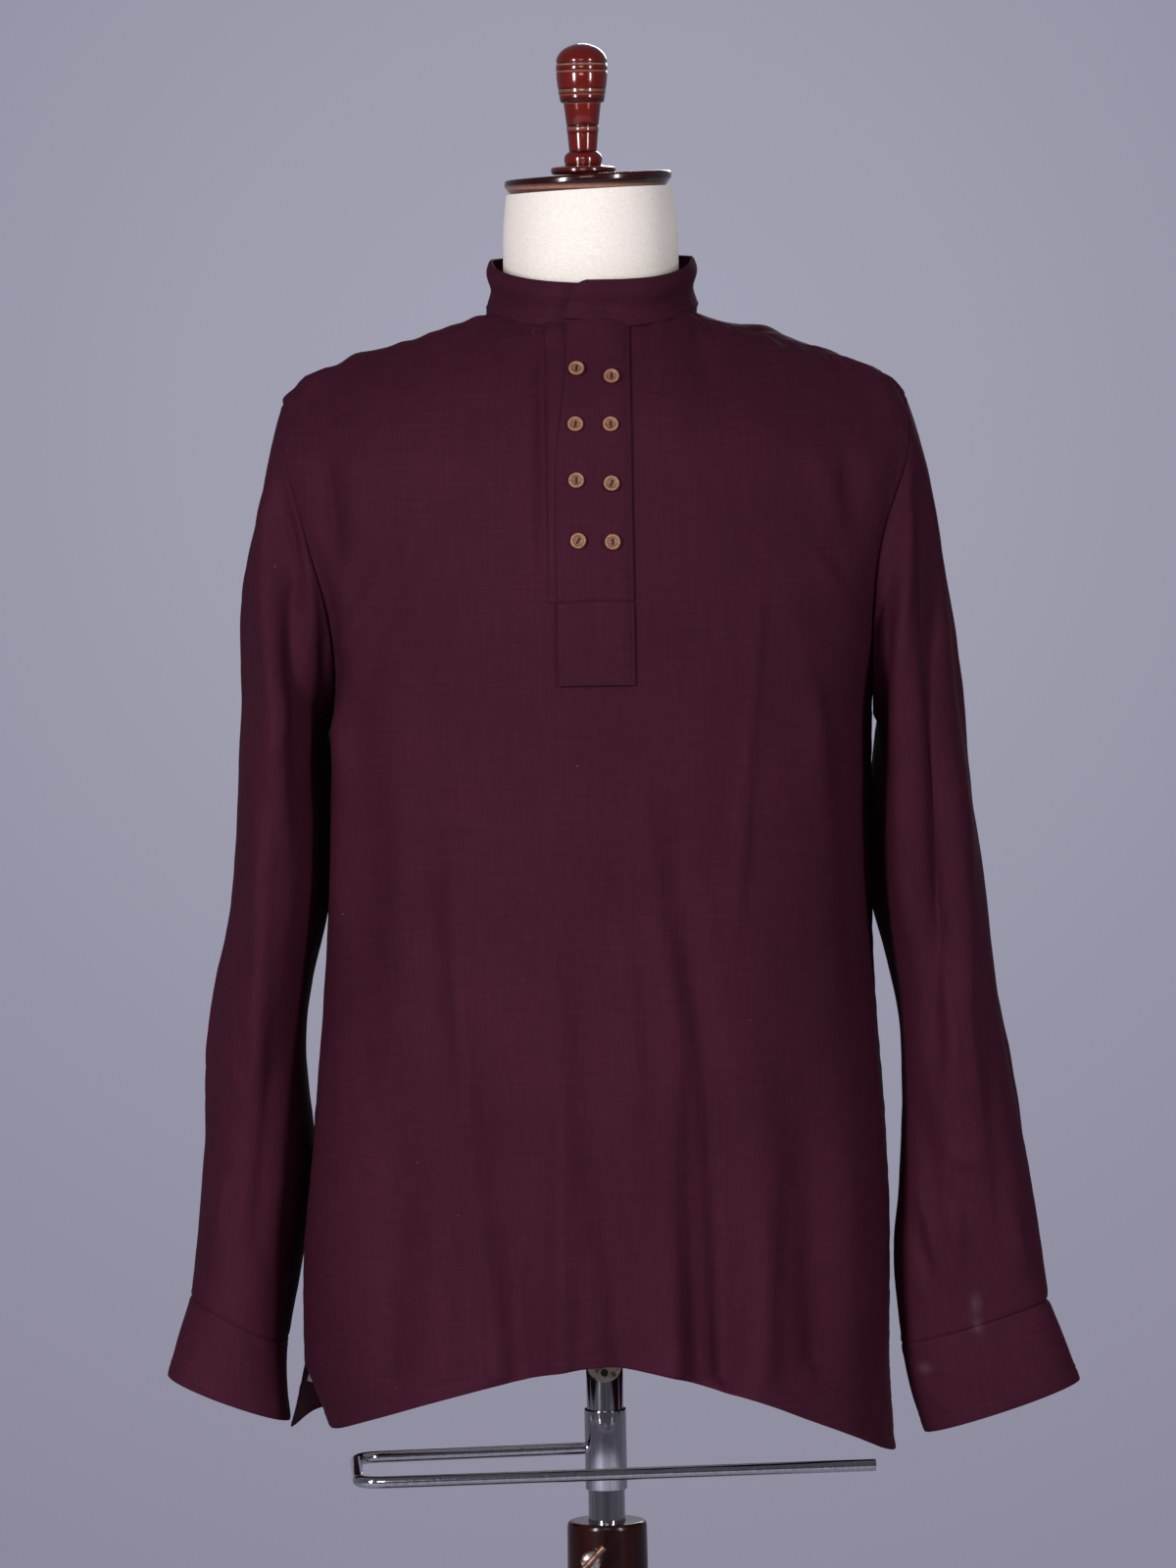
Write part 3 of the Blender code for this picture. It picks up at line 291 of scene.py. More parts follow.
# The middle of the front and back panels, down the garment.
Mid = namedtuple("Mid", "v z_front y_front z_back y_back squareness")
MIDS = (
    Mid(0.12, 1.350, -0.1180, 1.372, 0.1180, 2.05),
    Mid(0.20, 1.302, -0.1310, 1.310, 0.1320, 2.10),
    Mid(0.27, 1.254, -0.1370, 1.255, 0.1380, 2.15),
    Mid(0.34, 1.198, -0.1390, 1.205, 0.1390, 2.20),
    Mid(0.37, 1.176, -0.1392, 1.178, 0.1385, 2.25),
    Mid(0.47, 1.103, -0.1380, 1.103, 0.1360, 2.25),
    Mid(0.63, 0.992, -0.1355, 0.990, 0.1330, 2.25),
    Mid(0.77, 0.892, -0.1350, 0.882, 0.1330, 2.25),
    Mid(0.88, 0.816, -0.1360, 0.795, 0.1350, 2.20),
    Mid(0.94, 0.776, -0.1370, 0.748, 0.1370, 2.20),
    Mid(1.00, 0.740, -0.1380, 0.703, 0.1390, 2.20),
)

# Armhole edges of the panels, from the shoulder to the underarm. turn is how far the
# panel has turned from facing forward when it reaches the seam, in degrees.
Armhole = namedtuple("Armhole", "v z x_left x_right y turn")
FRONT_ARMHOLE = (
    Armhole(0.12, 1.336, -0.2035, 0.2140, -0.046, 62),
    Armhole(0.20, 1.288, -0.1905, 0.1975, -0.058, 66),
    Armhole(0.27, 1.242, -0.1785, 0.1915, -0.055, 72),
    Armhole(0.34, 1.192, -0.1755, 0.1905, -0.028, 82),
    Armhole(0.37, 1.168, -0.1785, 0.1915, 0.004, 90),
)
BACK_ARMHOLE = (
    Armhole(0.12, 1.338, -0.2075, 0.2155, 0.052, 62),
    Armhole(0.20, 1.290, -0.2000, 0.2065, 0.068, 66),
    Armhole(0.27, 1.242, -0.1920, 0.1995, 0.064, 72),
    Armhole(0.34, 1.194, -0.1840, 0.1945, 0.036, 82),
    Armhole(0.37, 1.168, -0.1785, 0.1915, 0.004, 90),
)

# The side seams, shared by front and back, and the two edges of each slit.
Side = namedtuple("Side", "v z_left x_left z_right x_right y")
SIDE_SEAM = (
    Side(0.37, 1.168, -0.1785, 1.168, 0.1915, 0.004),
    Side(0.47, 1.096, -0.1815, 1.096, 0.1895, 0.004),
    Side(0.63, 0.986, -0.1875, 0.986, 0.1905, 0.004),
    Side(0.77, 0.884, -0.1975, 0.884, 0.1965, 0.004),
    Side(0.88, 0.794, -0.2055, 0.794, 0.1980, 0.004),
    Side(0.94, 0.729, -0.2060, 0.722, 0.1965, 0.004),
)
FRONT_SLIT = (
    Side(0.94, 0.729, -0.2060, 0.722, 0.1965, 0.004),
    Side(1.00, 0.689, -0.1880, 0.667, 0.1975, -0.030),
)
BACK_SLIT = (
    Side(0.94, 0.729, -0.2060, 0.722, 0.1965, 0.004),
    Side(1.00, 0.676, -0.2190, 0.666, 0.2000, 0.056),
)

# The front yoke seam, from the neck to the top of the armhole.
Shoulder = namedtuple("Shoulder", "share x_left z_left x_right z_right y_left y_right")
SHOULDER_SEAM = (
    Shoulder(0.00, -0.0608, 1.4475, 0.0698, 1.4455, -0.029, -0.029),
    Shoulder(0.20, -0.0850, 1.4405, 0.0950, 1.4368, -0.022, -0.027),
    Shoulder(0.40, -0.1120, 1.4315, 0.1210, 1.4296, -0.014, -0.021),
    Shoulder(0.60, -0.1400, 1.4230, 0.1480, 1.4225, -0.009, -0.012),
    Shoulder(0.80, -0.1710, 1.4135, 0.1790, 1.4118, -0.006, -0.007),
    Shoulder(0.92, -0.1955, 1.4040, 0.2030, 1.4015, -0.005, -0.005),
    Shoulder(1.00, -0.2080, 1.3880, 0.2170, 1.3870, -0.004, -0.004),
)

# How a panel's cloth leaves the neck or the shoulder: at the middle, at the neck point
# and at the armhole. x is outward, and the length sets how far the start is felt.
Leave = namedtuple("Leave", "a x y z")
FRONT_LEAVE = (
    Leave(0.0, 0.000, -0.050, -0.075),
    Leave(NECK_SHARE, 0.020, -0.085, -0.050),
    Leave(0.7, 0.012, -0.085, -0.040),
    Leave(1.0, 0.004, -0.045, -0.028),
)
BACK_LEAVE = (
    Leave(0.0, 0.000, 0.065, -0.055),
    Leave(NECK_SHARE, 0.016, 0.105, 0.018),
    Leave(0.7, 0.012, 0.105, 0.024),
    Leave(1.0, 0.006, 0.060, 0.004),
)

# Soft folds. A ridge has a positive height and a trough a negative one. They start at
# v_top, fade in over v_soft, and run to the hem unless v_low is less than 1.
Fold = namedtuple("Fold", "u_top u_low v_top v_low v_soft half_width height")
FRONT_FOLDS = (
    Fold(0.155, 0.205, 0.60, 1.20, 0.20, 0.024, -0.0100),
    Fold(0.260, 0.310, 0.56, 1.20, 0.20, 0.030, 0.0070),
    Fold(0.070, 0.100, 0.58, 1.20, 0.18, 0.030, 0.0050),
    Fold(-0.180, -0.235, 0.60, 1.20, 0.20, 0.028, -0.0065),
    Fold(-0.300, -0.370, 0.52, 1.20, 0.20, 0.034, 0.0060),
    Fold(-0.560, -0.600, 0.55, 1.20, 0.20, 0.040, 0.0050),
    Fold(0.560, 0.600, 0.60, 1.20, 0.22, 0.040, 0.0045),
    Fold(-0.880, -0.700, 0.17, 0.46, 0.08, 0.022, 0.0060),
)
BACK_FOLDS = (
    Fold(0.240, 0.300, 0.40, 1.20, 0.22, 0.034, 0.0080),
    Fold(0.420, 0.470, 0.45, 1.20, 0.22, 0.030, -0.0070),
    Fold(-0.200, -0.260, 0.42, 1.20, 0.24, 0.036, 0.0075),
    Fold(-0.400, -0.440, 0.50, 1.20, 0.20, 0.028, -0.0065),
    Fold(0.020, 0.010, 0.55, 1.20, 0.22, 0.030, -0.0050),
    Fold(0.640, 0.690, 0.40, 1.20, 0.20, 0.034, 0.0060),
    Fold(-0.620, -0.680, 0.45, 1.20, 0.20, 0.034, 0.0065),
)
YOKE_FOLDS = (
    Fold(0.560, 0.560, 0.00, 0.08, 0.03, 0.024, 0.0060),
    Fold(-0.780, -0.780, 0.00, 0.07, 0.03, 0.014, 0.0045),
)

# Sleeve rings below the armhole, each through its outer and inner points. tuck is how far
# the cloth bulges toward the body, just behind the inner point.
Ring = namedtuple("Ring", "x_out z_out x_in z_in y_front y_back tuck")
SLEEVES = {
    "left": (
        Ring(-0.2433, 1.150, -0.1860, 1.150, -0.076, 0.088, 0.0115),
        Ring(-0.2500, 1.060, -0.1890, 1.055, -0.068, 0.084, 0.0100),
        Ring(-0.2635, 0.968, -0.2012, 0.960, -0.059, 0.076, 0.0000),
        Ring(-0.2725, 0.885, -0.2040, 0.870, -0.046, 0.082, 0.0110),
        Ring(-0.2785, 0.822, -0.2125, 0.800, -0.044, 0.076, 0.0105),
        Ring(-0.2836, 0.777, -0.2190, 0.745, -0.048, 0.048, 0.0040),
    ),
    "right": (
        Ring(0.2535, 1.150, 0.1975, 1.150, -0.078, 0.088, 0.0060),
        Ring(0.2650, 1.060, 0.1965, 1.055, -0.072, 0.080, 0.0138),
        Ring(0.2770, 0.968, 0.2072, 0.955, -0.066, 0.068, 0.0000),
        Ring(0.2895, 0.885, 0.2050, 0.862, -0.060, 0.052, 0.0000),
        Ring(0.2985, 0.822, 0.1995, 0.795, -0.054, 0.034, 0.0000),
        Ring(0.3050, 0.766, 0.2040, 0.737, -0.048, 0.016, 0.0000),
    ),
}
CUFFS = {
    "left": (
        Ring(-0.2836, 0.777, -0.2190, 0.745, -0.048, 0.048, 0.0040),
        Ring(-0.2925, 0.750, -0.2180, 0.718, -0.050, 0.038, 0.0000),
        Ring(-0.3003, 0.723, -0.2162, 0.691, -0.050, 0.032, 0.0000),
    ),
    "right": (
        Ring(0.3050, 0.766, 0.2040, 0.737, -0.048, 0.016, 0.0000),
        Ring(0.3165, 0.738, 0.2100, 0.706, -0.050, 0.017, 0.0000),
        Ring(0.3263, 0.710, 0.2195, 0.676, -0.050, 0.018, 0.0000),
    ),
}
TUCK_ANGLE = math.radians(216)   # where a sleeve hangs in behind the body's side
TUCK_SPREAD = math.radians(30)
SLEEVE_SQUARENESS = 2.15

# Rings of the dress form's body.
FormRing = namedtuple("FormRing", "z half_width y_front y_back squareness x")
FORM_RINGS = (
    FormRing(0.7480, 0.146, -0.098, 0.100, 2.2, 0.0),
    FormRing(0.7560, 0.152, -0.103, 0.106, 2.2, 0.0),
    FormRing(0.8600, 0.160, -0.108, 0.116, 2.2, 0.0),
    FormRing(0.9500, 0.153, -0.104, 0.108, 2.2, 0.0),
    FormRing(1.0300, 0.146, -0.101, 0.101, 2.2, 0.0),
    FormRing(1.1100, 0.152, -0.110, 0.106, 2.2, 0.0),
    FormRing(1.1900, 0.160, -0.121, 0.116, 2.2, 0.0),
    FormRing(1.2500, 0.167, -0.125, 0.122, 2.1, 0.0),
    FormRing(1.3000, 0.176, -0.118, 0.120, 2.0, 0.0),
    FormRing(1.3450, 0.184, -0.100, 0.106, 1.9, 0.002),
    FormRing(1.3750, 0.183, -0.080, 0.090, 1.8, 0.003),
    FormRing(1.3950, 0.172, -0.063, 0.076, 1.7, 0.004),
    FormRing(1.4070, 0.144, -0.050, 0.058, 1.7, 0.004),
    FormRing(1.4180, 0.108, -0.047, 0.046, 1.8, 0.004),
    FormRing(1.4300, 0.074, -0.049, 0.047, 1.9, 0.004),
    FormRing(1.4440, 0.064, -0.055, 0.054, 2.0, 0.004),
    FormRing(1.4600, NECK_RADIUS + 0.001, -0.0575, 0.0575, 2.0, 0.004),
    FormRing(1.4800, NECK_RADIUS, -NECK_RADIUS, NECK_RADIUS, 2.0, 0.004),
    FormRing(1.5060, NECK_RADIUS, -NECK_RADIUS, NECK_RADIUS, 2.0, 0.004),
    FormRing(1.5300, NECK_RADIUS - 0.0022, -0.0578, 0.0578, 2.0, 0.0035),
)

print("rows of the front:", len(MIDS), "and rings of a sleeve:", len(SLEEVES["left"]))

# %% [markdown]
# Smooth curves through those rows give any point of the cloth. The hanging part is an
# arc from the middle of a panel to its side seam, and the shoulder part joins the neckline
# to it. Folds that reach the hem are added along the outward direction.

# %% Shape of the panels and sleeves
def hermite(start, end, start_slope, end_slope, s):
    """Point at s from 0 to 1 on the cubic with these ends and end slopes."""
    return ((2 * s**3 - 3 * s**2 + 1) * start + (s**3 - 2 * s**2 + s) * start_slope
            + (3 * s**2 - 2 * s**3) * end + (s**3 - s**2) * end_slope)


def spline(rows, at):
    """Smooth values at `at` through rows whose first column is the knot."""
    rows = np.array(rows, dtype=float)
    knots, values = rows[:, 0], rows[:, 1:]
    slopes = np.gradient(values, knots, axis=0)
    at = np.asarray(at, dtype=float)
    i = np.clip(np.searchsorted(knots, at, side="right") - 1, 0, len(knots) - 2)
    step = (knots[i + 1] - knots[i])[..., None]
    s = (at - knots[i])[..., None] / step
    return hermite(values[i], values[i + 1], slopes[i] * step, slopes[i + 1] * step, s)


def smoothstep(x):
    x = np.clip(x, 0.0, 1.0)
    return x * x * (3 - 2 * x)


def unit(vectors):
    return vectors / np.linalg.norm(vectors, axis=-1, keepdims=True)


def rounded(angle, squareness):
    """Sine and cosine of a superellipse, which is a circle at squareness 2."""
    sine, cosine = np.sin(angle), np.cos(angle)
    reach = (np.abs(sine)**squareness + np.abs(cosine)**squareness)**(-1 / squareness)
    return sine * reach, cosine * reach


def armhole_and_side(u, v, front):
    """Edge points beside (u, v), and how far the panel turns before it reaches them."""
    left = u < 0
    arm = spline(FRONT_ARMHOLE if front else BACK_ARMHOLE, np.minimum(v, UNDERARM_V))
    seam = spline(SIDE_SEAM, np.clip(v, UNDERARM_V, SLIT_V))
    slit = spline(FRONT_SLIT if front else BACK_SLIT, np.maximum(v, SLIT_V))
    low = np.where((v > SLIT_V)[..., None], slit, seam)
    above = v < UNDERARM_V
    x = np.where(above, np.where(left, arm[..., 1], arm[..., 2]),
                 np.where(left, low[..., 1], low[..., 3]))
    z = np.where(above, arm[..., 0], np.where(left, low[..., 0], low[..., 2]))
    y = np.where(above, arm[..., 3], low[..., 4])
    turn = np.where(above, arm[..., 4], 90.0)
    return x, y, z, np.radians(turn)


def hanging(u, v, front):
    """The sheet below the chest: an arc from the panel's middle to its edge."""
    mid = spline(MIDS, v)
    z_mid, y_mid = (mid[..., 0], mid[..., 1]) if front else (mid[..., 2], mid[..., 3])
    x_edge, y_edge, z_edge, turn = armhole_and_side(u, v, front)
    sine, cosine = rounded(np.abs(u) * turn, mid[..., 4])
    sine_end, cosine_end = rounded(turn, mid[..., 4])
    across = sine / sine_end
    fall = (1 - cosine) / (1 - cosine_end)
    return np.stack([x_edge * across,
                     y_mid + (y_edge - y_mid) * fall,
                     z_mid + (z_edge - z_mid) * across**1.5], axis=-1)


def neck_point(angle):
    """Point of the neckline; the angle is 0 at the front and positive to the right."""
    front = np.cos(angle) > 0
    depth = np.where(front, -NECK_FRONT, NECK_BACK) * np.abs(np.cos(angle))
    drop = np.where(front, NECK_FRONT_DROP, NECK_BACK_DROP) * np.abs(np.cos(angle))
    return np.stack([NECK_X + NECK_HALF_WIDTH * np.sin(angle), depth,
                     NECK_SIDE_Z - drop], axis=-1)


def top_edge(u, front):
    """The neckline, and beyond it the front yoke seam out to the armhole."""
    side = np.where(u < 0, -1.0, 1.0)
    a = np.abs(u)
    share = np.minimum(a / NECK_SHARE, 1.0)
    start = 0.0 if front else math.pi
    neck = neck_point(side * (start + (SEAM_ANGLE - start) * share))
    seam = spline(SHOULDER_SEAM, (np.maximum(a, NECK_SHARE) - NECK_SHARE) / (1 - NECK_SHARE))
    left = np.stack([seam[..., 0], seam[..., 4], seam[..., 1]], axis=-1)
    right = np.stack([seam[..., 2], seam[..., 5], seam[..., 3]], axis=-1)
    shoulder = np.where((u < 0)[..., None], left, right)
    return np.where((a > NECK_SHARE)[..., None], shoulder, neck)


def bare_sheet(u, v, front):
    """The panel without folds: it leaves the top edge and joins the hanging part."""
    top = top_edge(u, front)
    leave = spline(FRONT_LEAVE if front else BACK_LEAVE, np.abs(u))
    leave = leave * np.stack([np.where(u < 0, -1.0, 1.0)] + [np.ones_like(u)] * 2, axis=-1)
    joint_v = np.full_like(v, YOKE_V)
    join = hanging(u, joint_v, front)
    step = 0.01
    slope = (hanging(u, joint_v + step, front) - join) / step * YOKE_V
    s = np.clip(v / YOKE_V, 0.0, 1.0)[..., None]
    upper = hermite(top, join, leave * 1.15, slope, s)
    lower = hanging(u, np.maximum(v, YOKE_V), front)
    return np.where((v < YOKE_V)[..., None], upper, lower)


def fold_height(u, v, folds):
    height = np.zeros_like(u)
    for fold in folds:
        along = (v - fold.v_top) / (min(fold.v_low, 1.0) - fold.v_top)
        centre = fold.u_top + (fold.u_low - fold.u_top) * np.clip(along, 0.0, 1.0)
        off = (u - centre) * SHEET_WIDTH / fold.half_width
        fade = smoothstep((v - fold.v_top) / fold.v_soft)
        fade = fade * smoothstep((fold.v_low - v) / fold.v_soft)
        height += fold.height * np.exp(-off**2) * fade
    edge = smoothstep((1 - np.abs(u)) / 0.12)
    return height * edge


def sheet(u, v, front, lift=0.0):
    """Outer face of a body panel at (u, v), and its outward normal."""
    u, v = np.broadcast_arrays(np.asarray(u, float), np.asarray(v, float))
    step = 0.002
    u_low, u_high = np.maximum(u - step, -1.0), np.minimum(u + step, 1.0)
    v_low, v_high = np.maximum(v - step, 0.0), np.minimum(v + step, 1.0)
    across = bare_sheet(u_high, v, front) - bare_sheet(u_low, v, front)
    down = bare_sheet(u, v_high, front) - bare_sheet(u, v_low, front)
    normal = unit(np.cross(down, across)) * (1.0 if front else -1.0)
    folds = FRONT_FOLDS if front else BACK_FOLDS + YOKE_FOLDS
    height = fold_height(u, v, folds) + lift
    return bare_sheet(u, v, front) + height[..., None] * normal, normal


def armhole(side, share):
    """Armhole seam at share 0 (shoulder) to 0.5 (underarm, by the front) to 1 (back).

    Also gives the direction in which the sleeve leaves it: on from the panel at the
    shoulder, and straight out to the side at the underarm.
    """
    sign = -1.0 if side == "left" else 1.0
    front_v = np.clip(share * 2, 0, 1) * UNDERARM_V
    back_v = np.clip(2 - share * 2, 0, 1) * UNDERARM_V
    ahead = (share <= 0.5)[..., None]
    edge = np.full_like(share, sign)
    seam = np.where(ahead, sheet(edge, front_v, True)[0], sheet(edge, back_v, False)[0])
    inner = np.where(ahead, sheet(edge * 0.985, front_v, True)[0],
                     sheet(edge * 0.985, back_v, False)[0])
    high = smoothstep((np.abs(share - 0.5) - 0.15) / 0.25)[..., None]
    sideways = np.array([sign, 0.0, 0.0])
    return seam, unit(unit(seam - inner) * high + sideways * (1.15 - high))


def ring_point(row, angle):
    """Point of a sleeve ring; the angle is 0 at the outer point and 90 degrees in front."""
    x_out, z_out, x_in, z_in, y_front, y_back, tuck = np.moveaxis(row, -1, 0)
    sine, cosine = rounded(angle, SLEEVE_SQUARENESS)
    y_mid = (y_front + y_back) / 2
    depth = (y_back - y_front) / 2
    inward = np.sign(x_in - x_out) * tuck * np.exp(-((angle - TUCK_ANGLE) / TUCK_SPREAD)**2)
    return np.stack([(x_out + x_in) / 2 + (x_out - x_in) / 2 * cosine + inward,
                     y_mid - depth * sine,
                     (z_out + z_in) / 2 + (z_out - z_in) / 2 * cosine], axis=-1)


def tube(rings, share, t):
    """Point on the tube through the rings, at t from 0 to 1 along it."""
    knots = np.linspace(0.0, 1.0, len(rings))
    rows = spline([(knot, *ring) for knot, ring in zip(knots, rings)], t)
    return ring_point(rows, share * 2 * math.pi)


def sleeve_point(side, share, t):
    """Point on a sleeve: the cap for t below 0 (-1 is the armhole), then the tube."""
    seam, outward = armhole(side, share)
    first = tube(SLEEVES[side], share, np.zeros_like(t))
    step = 0.02
    down = unit(tube(SLEEVES[side], share, np.full_like(t, step)) - first)
    reach = np.linalg.norm(first - seam, axis=-1, keepdims=True)
    drop = np.array([0.0, 0.0, -1.0])
    leave = unit(outward * 0.75 + drop)
    cap = hermite(seam, first, leave * reach, down * reach, np.clip(t + 1, 0, 1)[..., None])
    return np.where((t < 0)[..., None], cap, tube(SLEEVES[side], share, np.maximum(t, 0)))


def tube_normals(points, side):
    """Outward normals of a closed ring grid, rows down and columns around."""
    around = np.roll(points, -1, axis=1) - np.roll(points, 1, axis=1)
    down = np.gradient(points, axis=0)
    sign = 1.0 if side == "right" else -1.0
    return unit(np.cross(around, down)) * sign


def placket_edge(v):
    """The placket's free edge, which slants toward the neck point at its top."""
    return PLACKET_LEFT + (PLACKET_TOP_LEFT - PLACKET_LEFT) * smoothstep(1 - v / 0.15)


def overlap_raise(x):
    """The buttoned end of the opening sits a little high at the neck."""
    return OVERLAP_RAISE * smoothstep((0.034 - x) / 0.044)


COLLAR_PROFILE = ((0.0, 0.0), (0.3, -0.0020), (0.75, 0.0008), (1.0, -0.0016))


def collar_point(angle, share):
    """Outer face of the collar. The angle runs from the front round by the left."""
    turned = -np.radians(angle)
    base = neck_point(turned)
    outward = np.stack([-np.sin(np.radians(angle)), -np.cos(np.radians(angle)),
                        np.zeros_like(angle)], axis=-1)
    over = smoothstep((angle - 300.0) / 40.0)
    flare = spline(COLLAR_PROFILE, share)[..., 0] + over * OVERLAP_LIFT
    raised = overlap_raise(base[..., 0]) * (angle > 300.0)
    height = COLLAR_HEIGHT + COLLAR_BACK_RISE * ((1 - np.cos(np.radians(angle))) / 2)**2
    rise = 0.0007 + raised * (1 - share) + height * share
    lift = np.stack([np.zeros_like(rise), np.zeros_like(rise), rise], axis=-1)
    return base + outward * flare[..., None] + lift, outward


print("front middle at the hem:", sheet([0.0], [1.0], True)[0].round(3).tolist())

# %% [markdown]
# ## Creases
# A worn and folded garment keeps many small creases. Each one here is a route down the
# cloth, with a half width and a height in millimetres at every knot. A positive height is
# a ridge and a negative one a trough. They differ in length, depth and spacing, and many
# are steeper on one side, because gravity pulls a fold to that side.

# %% Crease tables
Crease = namedtuple("Crease", "facing steep knots")


def creases(facing, *rows):
    """Rows of steepness and then knots, each of them (place, z, half width, height)."""
    return tuple(Crease(facing, steep, knots) for steep, *knots in rows)


FRONT_CREASES = creases("front",
    (1.5, (50, 1150, 7, 0), (54, 1068, 6, -3.1), (70, 968, 6.7, -6.6), (79, 869, 9, -10.5),
     (82, 783, 9.7, -14.4), (83, 735, 9.7, -16.4)),
    (0.7, (30, 1160, 8, 0), (38, 1068, 7.9, 3.1), (52, 968, 7.9, 4.3), (48, 869, 11.4, 6.6),
     (48, 783, 11.4, 9.8), (48, 735, 11.4, 10.9)),
    (0.8, (16, 1060, 7, 0), (22, 968, 7, 3.5), (30, 890, 9, 0)),
    (1.5, (-14, 1040, 14, 0), (-10, 968, 9.7, -3.5), (-2, 869, 9.7, -7), (10, 783, 10.5, -9),
     (12, 735, 10.5, -10.1)),
    (0.7, (-30, 1050, 12, 0), (-27, 968, 10.6, 2.7), (-26, 869, 9.7, 5.9), (-27, 783, 9.7, 7.4),
     (-28, 735, 9.7, 7.8)),
    (1.5, (-117, 1180, 16, 0), (-117, 1068, 11.2, -5.1), (-112, 968, 9.7, -3.1),
     (-106, 900, 11, 0)),
    (0.9, (-100, 1100, 8, 0), (-95, 1030, 7.9, 3.1), (-91, 968, 7, 5.5), (-84, 869, 7.9, 3.5),
     (-75, 783, 7, 6.6), (-71, 735, 7, 7.4)),
    (1.5, (-63, 860, 8, 0), (-60, 800, 6, -4.7), (-57, 735, 6, -6.2)),
    (0.8, (-170, 1225, 8, 0), (-171, 1168, 9, 4.5), (-173, 1068, 8.8, 4.7),
     (-176, 968, 9.7, 2.3), (-178, 900, 11, 0)),
    (1.5, (-152, 1200, 10, 0), (-153, 1110, 10.2, -3), (-156, 968, 9.7, -2.3),
     (-160, 880, 12, 0)),
    (1.5, (-140, 940, 14, 0), (-142, 840, 10.5, -3.1), (-146, 742, 9.7, -5.1)),
    (0.7, (-112, 880, 12, 0), (-110, 800, 11.4, 3.1), (-104, 742, 11.4, 4.7)),
    (0.35, (116, 1275, 6, 0), (113, 1235, 6, 1.7), (105, 1155, 6, 2.4), (98, 1071, 5.3, 2.9),
     (91, 1000, 6, 0)),
    (0.7, (140, 1240, 9, 0), (152, 1168, 9, 3), (156, 1100, 9, 0)),
    (1.5, (160, 1200, 7, 0), (168, 1130, 6.8, -3), (172, 1040, 6, -2.7), (176, 960, 8, 0)),
    (0.8, (-136, 1285, 8, 0), (-148, 1255, 9, 3.6), (-163, 1228, 9, 3.9), (-173, 1210, 8, 0)),
    (1.5, (-122, 1282, 8, 0), (-136, 1250, 6.8, -2.4), (-150, 1215, 8, 0)),
    (0.8, (-180, 1368, 8, 0), (-176, 1330, 7.7, -4.5), (-173, 1296, 7.7, -4.5),
     (-172, 1250, 8, 0)),
    (0.7, (-160, 1372, 10, 0), (-157, 1330, 10, 3), (-156, 1280, 9, 0)),
    (0.7, (-66, 1222, 6, 0), (-48, 1236, 6, 1.5), (-28, 1248, 5, 0)),
    (1.5, (-72, 1186, 7, 0), (-50, 1196, 6, -1.2), (-26, 1204, 6, 0)),
    (0.7, (138, 1300, 7, 0), (160, 1268, 7, 2.1), (185, 1232, 7, 0)),
    (1.5, (130, 1262, 7, 0), (156, 1234, 6, -1.5), (182, 1205, 7, 0)),
    (0.7, (150, 1365, 9, 0), (160, 1330, 9, 1.8), (172, 1285, 9, 0)),
    (1.5, (171, 1372, 7, 0), (176, 1330, 6, -3), (180, 1270, 7, 0)),
    (0.7, (112, 960, 16, 0), (114, 869, 14.1, 3.5), (108, 783, 12.3, 4.7),
     (106, 735, 12.3, 5.1)),
    (1.5, (140, 940, 14, 0), (142, 850, 11.2, -3.9), (144, 742, 10.5, -5.5)),
    (0.7, (-86, 1398, 9, 0), (-92, 1370, 10, 1.4), (-98, 1330, 9, 0)),
    (1.5, (60, 1405, 8, 0), (74, 1372, 7.7, -1), (86, 1330, 9, 0)),
    (1.5, (-27, 1428, 3.4, -2.2), (-30, 1390, 3.4, -3.3), (-31, 1320, 3, -2.7),
     (-31, 1270, 3, 0)),
    (0.35, (-36, 1428, 7, 1.6), (-38, 1390, 8, 3.2), (-38, 1300, 8, 2.6), (-37, 1255, 7, 0)),
)
BACK_CREASES = creases("back",
    (0.75, (-30, 1240, 12, 0), (-44, 1120, 11.7, -3.1), (-52, 960, 10.8, -4.7),
     (-60, 820, 9.9, -6), (-62, 705, 9, -7.3)),
    (1.2, (-66, 1180, 12, 0), (-78, 1060, 13, 2.6), (-86, 860, 14, 3.6), (-90, 705, 14, 4.4)),
    (0.7, (24, 1210, 12, 0), (30, 1080, 12, 2.3), (36, 900, 13, 2.9), (40, 705, 13, 3.9)),
    (0.8, (66, 1150, 11, 0), (72, 1010, 9.9, -2.6), (80, 850, 9.9, -3.9), (84, 705, 9, -4.9)),
    (0.7, (120, 1240, 10, 0), (126, 1110, 12, 2.1), (132, 930, 13, 3.1), (134, 705, 13, 3.4)),
    (1.5, (-128, 1210, 10, 0), (-134, 1080, 10.8, -2.3), (-142, 900, 10.8, -3.1),
     (-146, 705, 10.8, -3.6)),
    (0.6, (-110, 1300, 6, 0), (-106, 1250, 6, 1.6), (-100, 1170, 6, 1.6), (-95, 1100, 6, 0)),
    (0.7, (168, 1330, 9, 0), (164, 1270, 10, 2.3), (170, 1200, 9, 0)),
    (1.5, (-172, 1320, 9, 0), (-166, 1270, 9, -2.1), (-170, 1190, 9, 0)),
    (0.7, (150, 1290, 8, 0), (132, 1250, 8, 1.4), (112, 1222, 8, 0)),
    (1.5, (-6, 1060, 9, 0), (-4, 930, 9, -1.6), (-8, 790, 9, -2.3), (-8, 705, 9, -2.9)),
)
